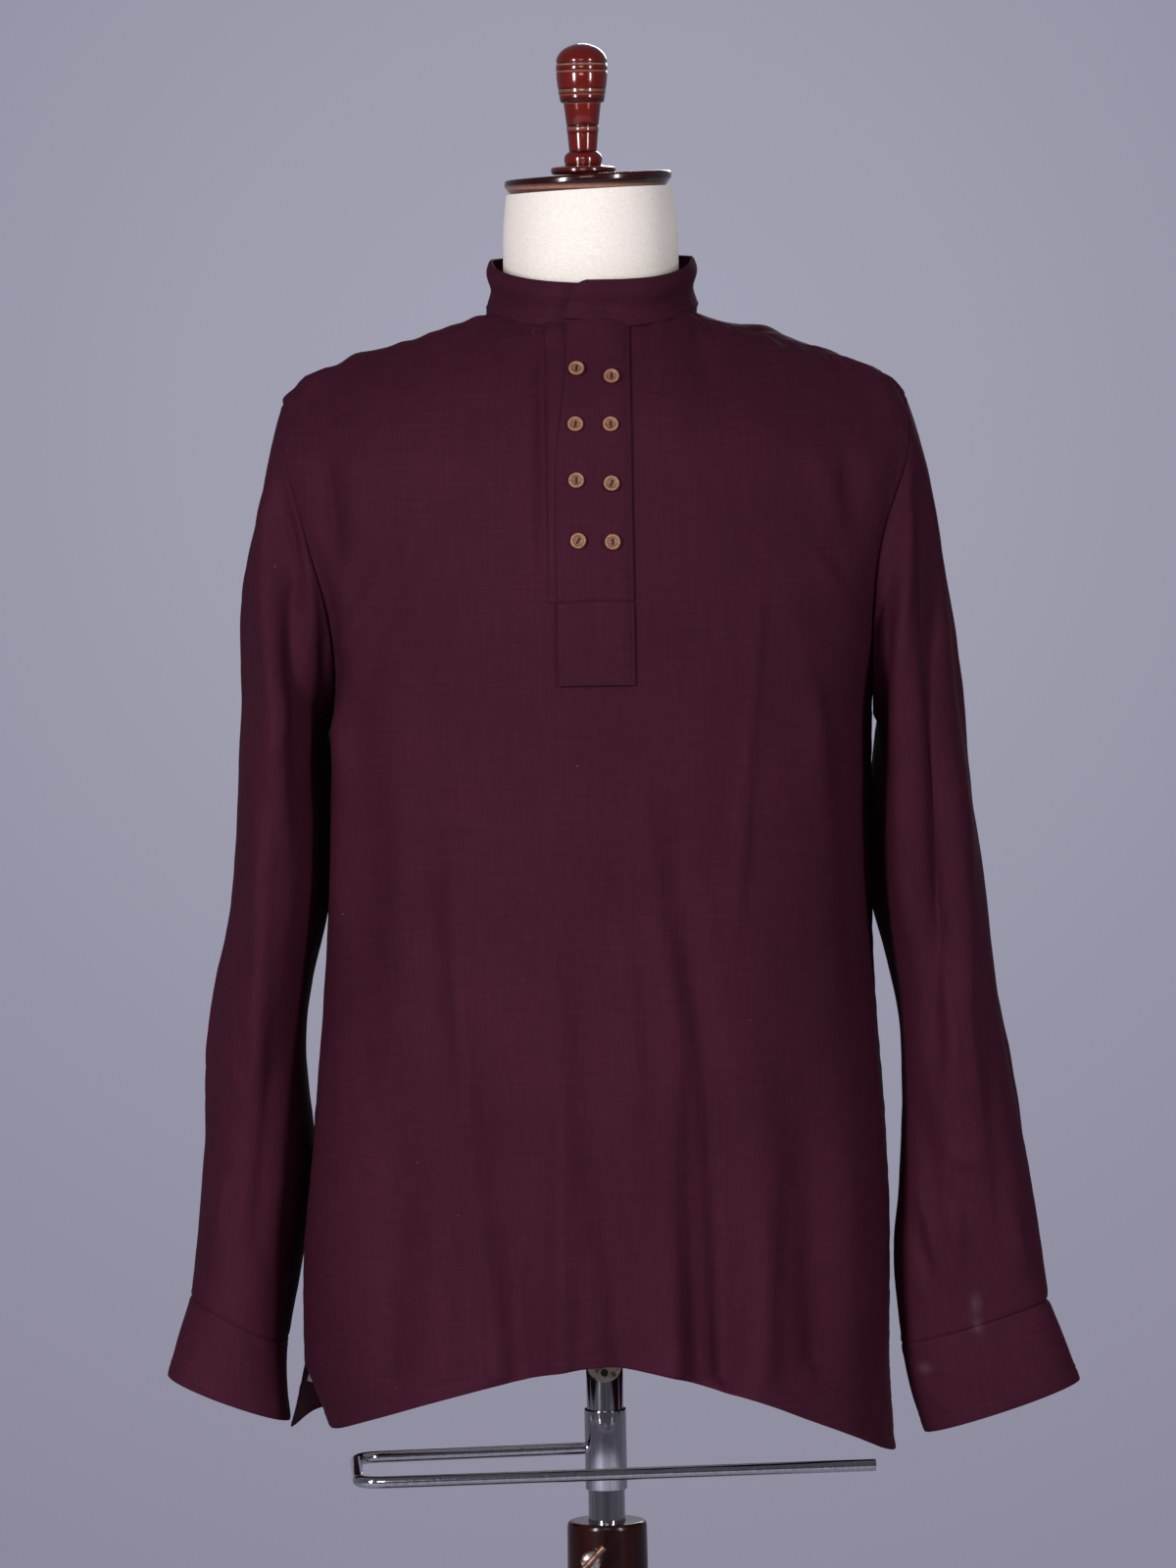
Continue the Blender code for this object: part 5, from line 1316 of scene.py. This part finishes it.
# %% [markdown]
# ## The dress form
# The form is moulded and padded, and covered with a fine stretched jersey. Only its neck
# and a little of its inside edge can be seen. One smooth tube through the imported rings
# gives the whole body, and its two ends are filled.

# %% Dress form
CAP_LOW, CAP_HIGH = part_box("neck_cap")
CAP_TILT = math.radians(2.7)
TILT_FROM = 1.49
NECK_TAPER = 0.018        # the neck's top is this share narrower
NECK_MIDDLE_X = 0.003


def jersey_finish():
    material, tree, shader = new_finish("off_white_jersey", 0.9, Sheen_Weight=0.2)
    tone, ribs = noise_tone(tree, 1400.0, 1.0, [(0.3, "#efe4dc"), (0.7, "#fbf3ec")],
                            stretch=(0.35, 0.35, 1.0))
    tree.links.new(tone, shader.inputs["Base Color"])
    relief = add_node(tree, "ShaderNodeBump", None,
                      {"Height": ribs, "Strength": 0.25, "Distance": 0.0004})
    tree.links.new(relief.outputs["Normal"], shader.inputs["Normal"])
    return material


def tilt_rise(place):
    """The neck was cut a little slanting, so its top and the cap are higher at one side."""
    near_top = smoothstep((place.z - TILT_FROM) / (CAP_HIGH.z - TILT_FROM))
    return float(near_top) * math.tan(CAP_TILT) * (place.x - NECK_MIDDLE_X)


TIPPED = Matrix.Rotation(math.pi / 2, 4, "X")   # from upright to facing the front


def close_ends(bm):
    """Fill every open loop of edges with one face."""
    open_edges = [edge for edge in bm.edges if edge.is_boundary]
    bmesh.ops.holes_fill(bm, edges=open_edges, sides=0)
    bmesh.ops.recalc_face_normals(bm, faces=bm.faces[:])


def build_form():
    heights = np.unique(np.concatenate([np.linspace(FORM_RINGS[0].z, FORM_RINGS[-1].z, 110),
                                        [row.z for row in FORM_RINGS]]))
    rows = spline([(row.z, row.half_width, row.y_front, row.y_back, row.squareness, row.x)
                   for row in FORM_RINGS], heights)
    bm = bmesh.new()
    sides = 96
    bmesh.ops.create_grid(bm, x_segments=sides, y_segments=len(heights) - 1, size=0.5)
    for vert in bm.verts:
        row = round((vert.co.y + 0.5) * (len(heights) - 1))
        angle = (vert.co.x + 0.5) * 2 * math.pi
        half_width, y_front, y_back, squareness, x = rows[row]
        sine, cosine = rounded(np.array(angle), squareness)
        place = Vector((x + half_width * cosine,
                        (y_front + y_back) / 2 + (y_back - y_front) / 2 * sine, heights[row]))
        place.z += tilt_rise(place)
        near_top = smoothstep((heights[row] - 1.48) / 0.05)
        place.x -= (place.x - NECK_MIDDLE_X) * NECK_TAPER * near_top
        vert.co = place
    bmesh.ops.remove_doubles(bm, verts=bm.verts[:], dist=0.00002)
    close_ends(bm)
    return finished("dress_form", bm, jersey, "form", sharp=40)


def finished(name, bm, material, body, sharp=30, node=None):
    """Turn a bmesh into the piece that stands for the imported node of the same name."""
    item = new_item(name, bm, material)
    item.data.set_sharp_from_angle(angle=math.radians(sharp))
    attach(item, body)
    if node is None:
        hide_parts(name)
    print(name, "has", len(item.data.polygons), "faces")
    return item


jersey = jersey_finish()
build_form()

# %% [markdown]
# ## Turned wood
# The cap and the handle are turned on a lathe, stained and lacquered. A half outline spun
# about the axis makes each. Corners of the outline are cut by short arcs, because a lathe
# tool never leaves a perfectly sharp edge. The lathe also burns dark rings into the wood,
# and pale lines on the edges are painted highlights, so colour bands follow the height.

# %% Cap and handle
FINIAL_LOW, FINIAL_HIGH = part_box("finial")


def corner_arc(start, corner, end, count):
    """Points of a smooth arc from start to end, which bends toward the corner."""
    shares = [step / count for step in range(count + 1)]
    return [start * (1 - s)**2 + corner * 2 * s * (1 - s) + end * s**2 for s in shares]


def softened(profile, radius, arc_points=4):
    """The outline with each inner corner cut by an arc no longer than half its sides."""
    rows = [Vector(row) for row in profile]
    route = [rows[0]]
    for before, corner, after in zip(rows, rows[1:], rows[2:]):
        reach = min(radius, (before - corner).length * 0.45, (after - corner).length * 0.45)
        start = corner + (before - corner).normalized() * reach
        end = corner + (after - corner).normalized() * reach
        route += corner_arc(start, corner, end, arc_points)
    return route + [rows[-1]]


def spun(profile, steps=96, centre=(0.0, 0.0), closed=False):
    """Outline rows of (radius, height), spun about a vertical axis."""
    bm = bmesh.new()
    verts = [bm.verts.new((radius, 0.0, height)) for radius, height in profile]
    for first, second in zip(verts, verts[1:] + (verts[:1] if closed else [])):
        bm.edges.new((first, second))
    bmesh.ops.spin(bm, geom=bm.verts[:] + bm.edges[:], cent=(0, 0, 0), axis=(0, 0, 1),
                   angle=2 * math.pi, steps=steps, use_merge=True)
    bmesh.ops.remove_doubles(bm, verts=bm.verts[:], dist=0.00001)
    bmesh.ops.translate(bm, verts=bm.verts[:], vec=(*centre, 0.0))
    bmesh.ops.recalc_face_normals(bm, faces=bm.faces[:])
    return bm


def banded_wood(name, low, high, bands, roughness=0.16):
    """Lacquered wood whose colour follows the height. bands are (height, hex) rows."""
    material, tree, shader = new_finish(name, roughness, Coat_Weight=0.7,
                                        Coat_Roughness=0.06, Specular_IOR_Level=0.5)
    here = add_node(tree, "ShaderNodeTexCoord")
    split = add_node(tree, "ShaderNodeSeparateXYZ", None, {"Vector": here.outputs["Object"]})
    up = add_node(tree, "ShaderNodeMapRange", None,
                  {"Value": split.outputs["Z"], "From Min": low, "From Max": high})
    bands = [((height - low) / (high - low), colour) for height, colour in bands]
    bands = [bands[0], bands[-1]] + bands[1:-1]
    ramp = add_node(tree, "ShaderNodeValToRGB", None, {"Fac": up.outputs["Result"]}, bands)
    shade, _ = noise_tone(tree, 1.0, 3.0, [(0.3, "#c9c0c0"), (0.7, "#ffffff")],
                          stretch=(260, 260, 30))
    tree.links.new(multiplied(tree, 0.5, ramp.outputs["Color"], shade),
                   shader.inputs["Base Color"])
    return material


def build_cap():
    # Bands: height and colour. The pale band near the lower rim, fading out by 4 mm up, is a
    # painted highlight; the rest is dark lacquered wood.
    wood = banded_wood("gloss_mahogany_cap_painted_highlight", CAP_LOW.z, CAP_HIGH.z, [
        (CAP_LOW.z, "#5a2c22"), (CAP_LOW.z + 0.0012, "#b08a78"), (CAP_LOW.z + 0.0028, "#8a5548"),
        (CAP_LOW.z + 0.0040, "#240706"), (CAP_LOW.z + 0.0070, "#2a0806"),
        (CAP_HIGH.z, "#3a0c0a")])
    bottom = CAP_LOW.z
    profile = softened([(0, CAP_TOP), (0.030, CAP_TOP), (CAP_RADIUS - 0.0008, CAP_TOP - 0.0004),
                        (CAP_RADIUS, CAP_TOP - 0.0018), (CAP_RADIUS, CAP_TOP - 0.0050),
                        (CAP_RADIUS - 0.0020, CAP_TOP - 0.0075),
                        (CAP_RADIUS - 0.0040, bottom), (0, bottom)], 0.0008)
    middle = (CAP_LOW + CAP_HIGH) / 2
    bm = spun(profile, centre=(middle.x, middle.y))
    for vert in bm.verts:
        vert.co.z += math.tan(CAP_TILT) * (vert.co.x - NECK_MIDDLE_X)
    return finished("neck_cap", bm, wood, "form")


FINIAL_PROFILE = (
    (0, 1.6300), (0.0035, 1.6298), (0.0066, 1.6290), (0.0094, 1.6279), (0.0120, 1.6265),
    (0.0142, 1.6247), (0.0158, 1.6227), (0.0169, 1.6204), (0.0174, 1.6184), (0.0174, 1.6174),
    (0.0169, 1.6167), (0.0169, 1.6163), (0.0175, 1.6157), (0.0176, 1.6130), (0.0175, 1.6118),
    (0.0171, 1.6112), (0.0175, 1.6106), (0.0174, 1.6070), (0.0168, 1.6010), (0.0163, 1.5992),
    (0.0161, 1.5987), (0.0163, 1.5982), (0.0160, 1.5956), (0.0156, 1.5950), (0.0157, 1.5944),
    (0.0152, 1.5912), (0.0146, 1.5898), (0.0128, 1.5892), (0.0124, 1.5860), (0.0111, 1.5750),
    (0.0107, 1.5745), (0.0107, 1.5739), (0.0111, 1.5734), (0.0108, 1.5698), (0.0104, 1.5692),
    (0.0105, 1.5686), (0.0096, 1.5580), (0.0094, 1.5566), (0.0104, 1.5560), (0.0119, 1.5548),
    (0.0129, 1.5530), (0.0131, 1.5508), (0.0127, 1.5486), (0.0122, 1.5476), (0.0150, 1.5466),
    (0.0200, 1.5462), (0.0219, 1.5455), (0.0223, 1.5442), (0.0223, 1.5426), (0.0210, 1.5411),
)


def build_finial():
    # Bands: height and colour. Burnt grooves are nearly black, and the pale lines on the edges
    # are painted highlights.
    wood = banded_wood("gloss_mahogany_handle_painted_highlights", FINIAL_LOW.z, FINIAL_HIGH.z, [
        (FINIAL_LOW.z, "#2e0806"), (1.5450, "#55140f"), (1.5466, "#8a4a3c"),
        (1.5474, "#2a0705"), (1.5488, "#68160e"), (1.5548, "#68160e"), (1.5562, "#1a0504"),
        (1.5580, "#6e170f"), (1.5684, "#6e170f"), (1.5692, "#1c0504"), (1.5702, "#6e170f"),
        (1.5726, "#a05a48"), (1.5736, "#1a0504"), (1.5744, "#1a0504"), (1.5756, "#6e170f"),
        (1.5884, "#6e170f"), (1.5894, "#8f4a3a"), (1.5904, "#1c0504"), (1.5944, "#6e170f"),
        (1.5950, "#9c5846"), (1.5957, "#3a0c08"), (1.5983, "#9c5846"), (1.5990, "#200604"),
        (1.6004, "#6e170f"), (1.6103, "#6e170f"), (1.6109, "#b0705a"), (1.6117, "#4a120d"),
        (1.6150, "#6e170f"), (1.6157, "#c08a72"), (1.6164, "#120303"), (1.6176, "#68150d"),
        (FINIAL_HIGH.z, "#68150d")])
    foot = FINIAL_LOW.z
    profile = list(FINIAL_PROFILE) + [(0.0205, foot), (0, foot)]
    return finished("finial", spun(profile, steps=72), wood, "form", sharp=50)


build_cap()
build_finial()

# %% [markdown]
# ## Stand
# A chromed tube carries the form. Thin vertical streaks in its colour stand for polishing
# marks and also paint streaks of reflection into the plating. The painted mount above it is
# chipped, and the bar's collar is pressed from sheet.

# %% Pole, mount, collar and trouser bar
def chrome_finish():
    material, tree, shader = new_finish("chrome_plate", 0.10, Metallic=1.0)
    # Vertical streaks in the colour: polishing marks, and painted streaks of reflection.
    tone, _ = noise_tone(tree, 1.0, 2.0, [(0.35, "#c4c2c8"), (0.65, "#e6e4e8")],
                         stretch=(900, 900, 9))
    tree.links.new(specked(tree, tone, 150.0, 0.075, "#6a5348"), shader.inputs["Base Color"])
    return material


def paint_finish():
    material, tree, shader = new_finish("chipped_beige_paint", 0.5)
    tone, _ = noise_tone(tree, 210.0, 4.0, [(0.40, "#5c4438"), (0.50, "#b5a898")])
    tree.links.new(tone, shader.inputs["Base Color"])
    return material


def swept_bar(points, radius, sides=20):
    """A round bar along a route, from a grid rolled about it, with closed ends."""
    route = [Vector(point) for point in points]
    bm = bmesh.new()
    bmesh.ops.create_grid(bm, x_segments=sides, y_segments=len(route) - 1, size=0.5)
    for vert in bm.verts:
        row = round((vert.co.y + 0.5) * (len(route) - 1))
        angle = (vert.co.x + 0.5) * 2 * math.pi
        ahead = (route[min(row + 1, len(route) - 1)] - route[max(row - 1, 0)]).normalized()
        side = ahead.cross(Vector((0, 0, 1))).normalized()
        up = side.cross(ahead)
        vert.co = route[row] + (side * math.cos(angle) + up * math.sin(angle)) * radius
    bmesh.ops.remove_doubles(bm, verts=bm.verts[:], dist=0.00001)
    close_ends(bm)
    return bm


def rounded_route(corners, radius, arc_points=12):
    """Route through the corners, with each inner corner turned into an arc."""
    route = [Vector(corners[0])]
    for before, corner, after in zip(corners, corners[1:], corners[2:]):
        corner = Vector(corner)
        start = corner + (Vector(before) - corner).normalized() * radius
        end = corner + (Vector(after) - corner).normalized() * radius
        route += corner_arc(start, corner, end, arc_points)
    return route + [Vector(corners[-1])]


chrome = chrome_finish()
beige = paint_finish()
POLE_LOW, POLE_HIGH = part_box("pole")
finished("pole", spun(softened(
    [(0, POLE_HIGH.z), (POLE_RADIUS, POLE_HIGH.z), (POLE_RADIUS, POLE_LOW.z), (0, POLE_LOW.z)],
    0.0008)), chrome, "form", sharp=50)

MOUNT_RADIUS = 0.0185
TAB_RADIUS = 0.0118


def build_mount():
    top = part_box("pole_mount")[1].z
    shoulder = POLE_HIGH.z + SEAM_GAP
    bm = spun(softened([(0, top), (MOUNT_RADIUS, top), (MOUNT_RADIUS, shoulder),
                        (0, shoulder)], 0.0006))
    tab_front = -POLE_RADIUS - SEAM_GAP
    middle = Matrix.Translation((0, tab_front - 0.0011, shoulder + 0.001))
    bmesh.ops.create_cone(bm, cap_ends=True, segments=48, radius1=TAB_RADIUS,
                          radius2=TAB_RADIUS - 0.0005, depth=0.0022, matrix=middle @ TIPPED)
    return finished("pole_mount", bm, beige, "form")


build_mount()
# A near-black disc paints the shade inside the mount's screw hole.
screw_hole_shade = new_finish("screw_hole_painted_shade", 0.6, Base_Color=linear("#140c0a"))[0]
hole = bmesh.new()
bmesh.ops.create_cone(hole, cap_ends=True, segments=24, radius1=0.0027, radius2=0.0025,
                      depth=0.0006,
                      matrix=Matrix.Translation((0, -POLE_RADIUS - SEAM_GAP - 0.0024,
                                                 POLE_HIGH.z - 0.0035)) @ TIPPED)
finished("mount_screw_hole_shade", hole, screw_hole_shade, "form", node="none")

BAR_LOW, BAR_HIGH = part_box("bar_collar")
inner = BAR_COLLAR_RADIUS - 0.0014
collar_ring = spun(softened([(BAR_COLLAR_RADIUS - 0.0002, BAR_HIGH.z),
                             (BAR_COLLAR_RADIUS, BAR_HIGH.z - 0.0006),
                             (BAR_COLLAR_RADIUS, BAR_LOW.z), (inner, BAR_LOW.z),
                             (inner, BAR_HIGH.z)], 0.0004), closed=True)
finished("bar_collar", collar_ring, chrome, "form")
start = -BAR_COLLAR_RADIUS - SEAM_GAP
BAR_CORNERS = ((start, 0.0, BAR_Z), (-0.172, -0.026, BAR_Z), (-0.166, -0.142, BAR_Z),
               (0.182, -0.100, BAR_Z))
BAR_BEND = 0.018
finished("trouser_bar", swept_bar(rounded_route(BAR_CORNERS, BAR_BEND), BAR_RADIUS), chrome,
         "form")

# %% [markdown]
# The column and the base are turned too, and finished in a dark red-brown lacquer. Its
# smooth coat shows bright rims where the outline turns.

# %% Column, base and clamp
def lacquer_finish():
    material, tree, shader = new_finish("black_brown_lacquer", 0.22, Coat_Weight=0.25,
                                        Coat_Roughness=0.06, Specular_IOR_Level=0.3)
    tone, _ = noise_tone(tree, 1.0, 3.0, [(0.3, "#1a0605"), (0.75, "#330d0b")],
                         stretch=(160, 160, 12))
    tree.links.new(tone, shader.inputs["Base Color"])
    return material


lacquer = lacquer_finish()
FOOT = BASE_HEIGHT + SEAM_GAP
COLUMN_PROFILE = (
    (BORE_RADIUS, COLUMN_TOP), (COLUMN_RADIUS - 0.0022, COLUMN_TOP),
    (COLUMN_RADIUS - 0.0005, COLUMN_TOP - 0.0012), (COLUMN_RADIUS, COLUMN_TOP - 0.0036),
    (COLUMN_RADIUS + 0.001, 0.520), (COLUMN_RADIUS + 0.003, 0.320),
    (COLUMN_RADIUS + 0.001, 0.180), (COLUMN_RADIUS + 0.006, 0.170),
    (COLUMN_RADIUS + 0.008, 0.160), (COLUMN_RADIUS + 0.006, 0.150),
    (COLUMN_RADIUS + 0.002, 0.140), (COLUMN_RADIUS + 0.008, 0.080),
    (COLUMN_RADIUS + 0.020, 0.048), (COLUMN_RADIUS + 0.022, FOOT), (0, FOOT),
    (0, BORE_END), (BORE_RADIUS, BORE_END))
finished("column", spun(softened(COLUMN_PROFILE, 0.006), closed=True), lacquer, "stand",
         sharp=50)
BASE_PROFILE = (
    (0, BASE_HEIGHT), (0.060, BASE_HEIGHT), (0.150, BASE_HEIGHT - 0.004),
    (BASE_RADIUS - 0.010, BASE_HEIGHT - 0.010), (BASE_RADIUS - 0.002, BASE_HEIGHT - 0.014),
    (BASE_RADIUS, 0.010), (BASE_RADIUS - 0.002, 0.001), (BASE_RADIUS - 0.004, 0.0), (0, 0.0))
finished("base", spun(softened(BASE_PROFILE, 0.003), steps=128), lacquer, "stand",
         sharp=50)


def steel_finish(name, colour, roughness):
    material, tree, shader = new_finish(name, roughness, Metallic=0.6)
    tone, _ = noise_tone(tree, 320.0, 3.0, [(0.35, "#5a4038"), (0.60, colour)])
    tree.links.new(tone, shader.inputs["Base Color"])
    return material


CLAMP_FACE = -COLUMN_RADIUS - 0.0012
CLAMP_X = -0.0115


def build_clamp():
    disc = spun([(0, 0.0090), (0.0036, 0.0090), (0.0044, 0.0086), (0.0062, 0.0080),
                 (0.0068, 0.0074), (0.0070, 0.0060), (0.0070, 0.0008), (0.0066, 0.0), (0, 0.0)],
                steps=10)
    place = Matrix.Translation((CLAMP_X, CLAMP_FACE, CLAMP_Z)) @ TIPPED
    bmesh.ops.transform(disc, matrix=place, verts=disc.verts[:])
    finished("clamp_knob", disc, steel_finish("plated_clamp_disc", "#cfc6c2", 0.35),
             "clamp")
    reach = CLAMP_FACE - 0.0090 - 0.0032
    corners = ((CLAMP_X + 0.0090, reach, CLAMP_Z + 0.0110), (CLAMP_X, reach, CLAMP_Z + 0.0010),
               (-0.0270, reach - 0.001, CLAMP_Z - 0.0140),
               (-0.0370, reach - 0.003, CLAMP_Z - 0.0260))
    rod = swept_bar(rounded_route(corners, 0.005, 6), 0.0023)
    finished("clamp_lever", rod, steel_finish("copper_brown_rod", "#9a7060", 0.4),
             "clamp")


build_clamp()

# %% [markdown]
# ## Buttons and label
# The buttons are small wooden discs with a raised rim and two holes, sewn on by hand with
# thread in a slot between them. The thread is drawn near black, which also paints the shade
# in the holes. They stand in two columns and each sits a little turned.

# %% Buttons
Button = namedtuple("Button", "x z spin")
BUTTONS = (
    Button(-0.0071, 1.4084, -10), Button(0.0163, 1.4028, 0),
    Button(-0.0084, 1.3713, -10), Button(0.0151, 1.3709, 5),
    Button(-0.0084, 1.3341, 0), Button(0.0150, 1.3317, -20),
    Button(-0.0078, 1.2942, -30), Button(0.0150, 1.2931, 0),
)


def button_finish():
    material, tree, shader = new_finish("button_wood", 0.5)
    tone, _ = noise_tone(tree, 1.0, 2.0, [(0.3, "#c8b8b0"), (0.7, "#ffffff")],
                         stretch=(300, 300, 1100))
    # From the middle of a button to its rim: the pale ring on the crown of the raised rim is a
    # painted highlight, and the darker ring inside it and the dark outer edge are painted shade.
    radius = add_node(tree, "ShaderNodeAttribute", {"attribute_name": "radius"})
    rings = add_node(tree, "ShaderNodeValToRGB", None, {"Fac": radius.outputs["Fac"]},
                     [(0.0, "#94684e"), (1.0, "#55291f"), (0.62, "#8a5a44"),
                      (0.78, "#b78a6c"), (0.88, "#a8785c")])
    tree.links.new(multiplied(tree, 1.0, rings.outputs["Color"], tone),
                   shader.inputs["Base Color"])
    return material


def build_button(number, row):
    low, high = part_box(f"button_{number}")
    middle = (low + high) / 2
    normal = Vector(front_normal_at(row))
    seat = Vector((middle.x, middle.y, middle.z)) - normal * (BUTTON_THICKNESS / 2)
    facing = normal.to_track_quat("Z", "Y").to_matrix().to_4x4()
    spin = Matrix.Rotation(math.radians(row.spin), 4, "Z")
    rim = BUTTON_RADIUS
    bm = spun([(0, 0.0014), (0.0022, 0.0014), (0.0032, 0.0017), (0.0038, 0.0024),
               (0.0043, BUTTON_THICKNESS), (0.0049, 0.0025), (rim, 0.0018), (rim, 0.0010),
               (rim - 0.0009, 0.0), (0, 0.0)], steps=40)
    layer = bm.verts.layers.float.new("radius")
    for vert in bm.verts:
        vert[layer] = math.hypot(vert.co.x, vert.co.y) / rim
    place = Matrix.Translation(seat) @ facing @ spin
    bmesh.ops.transform(bm, matrix=place, verts=bm.verts[:])
    disc = finished(f"button_{number}", bm, wood, "form")
    # The slot: a near-black block for the thread, which also paints the shade in the holes.
    slot_mesh = bmesh.new()
    bmesh.ops.create_cube(slot_mesh, size=1.0,
                          matrix=place @ Matrix.Translation((0, 0, 0.0017))
                          @ Matrix.Diagonal((0.0011, 0.0046, 0.0014, 1.0)))
    bmesh.ops.bevel(slot_mesh, geom=slot_mesh.edges[:], offset=0.0003, segments=2,
                    affect="EDGES", profile=0.5, material=-1)
    finished(f"button_thread_{number}", slot_mesh, thread_and_hole_shade, "form",
             node="none")
    return disc


def front_normal_at(row):
    """Outward direction of the front at a button, where v is found from its height."""
    vs = np.linspace(0.0, 0.4, 120)
    us = np.array([across_to_u(row.x, v) for v in vs])
    points, normals = sheet(us, vs, True)
    nearest = int(np.argmin(np.abs(points[:, 2] - row.z)))
    return normals[nearest]


wood = button_finish()
# Near black: the button thread, with the painted shade of the button holes.
thread_and_hole_shade = new_finish("button_thread", 0.7, Base_Color=linear("#140809"))[0]
buttons = [build_button(number, row) for number, row in enumerate(BUTTONS, start=1)]

# %% [markdown]
# A blank woven label is sewn into the left slit. It is a small strip of tape, a little
# curled.

# %% Care label
def build_label():
    tape = new_finish("white_label_tape", 0.8, Base_Color=linear("#e6e3e8"))[0]
    bm = bmesh.new()
    bmesh.ops.create_grid(bm, x_segments=16, y_segments=6, size=0.5)
    for vert in bm.verts:
        vert.co.z = 0.06 * math.sin(vert.co.x * math.pi)
    bmesh.ops.solidify(bm, geom=bm.faces[:], thickness=0.06)
    place = (Matrix.Translation((-0.1965, 0.030, 0.7130))
             @ Matrix.Rotation(math.radians(-6), 4, "Z")
             @ Matrix.Rotation(math.radians(18), 4, "Y") @ TIPPED
             @ Matrix.Diagonal((0.018, 0.009, 0.009, 1.0)))
    bmesh.ops.transform(bm, matrix=place, verts=bm.verts[:])
    bmesh.ops.recalc_face_normals(bm, faces=bm.faces[:])
    return finished("care_label", bm, tape, "form")


label = build_label()
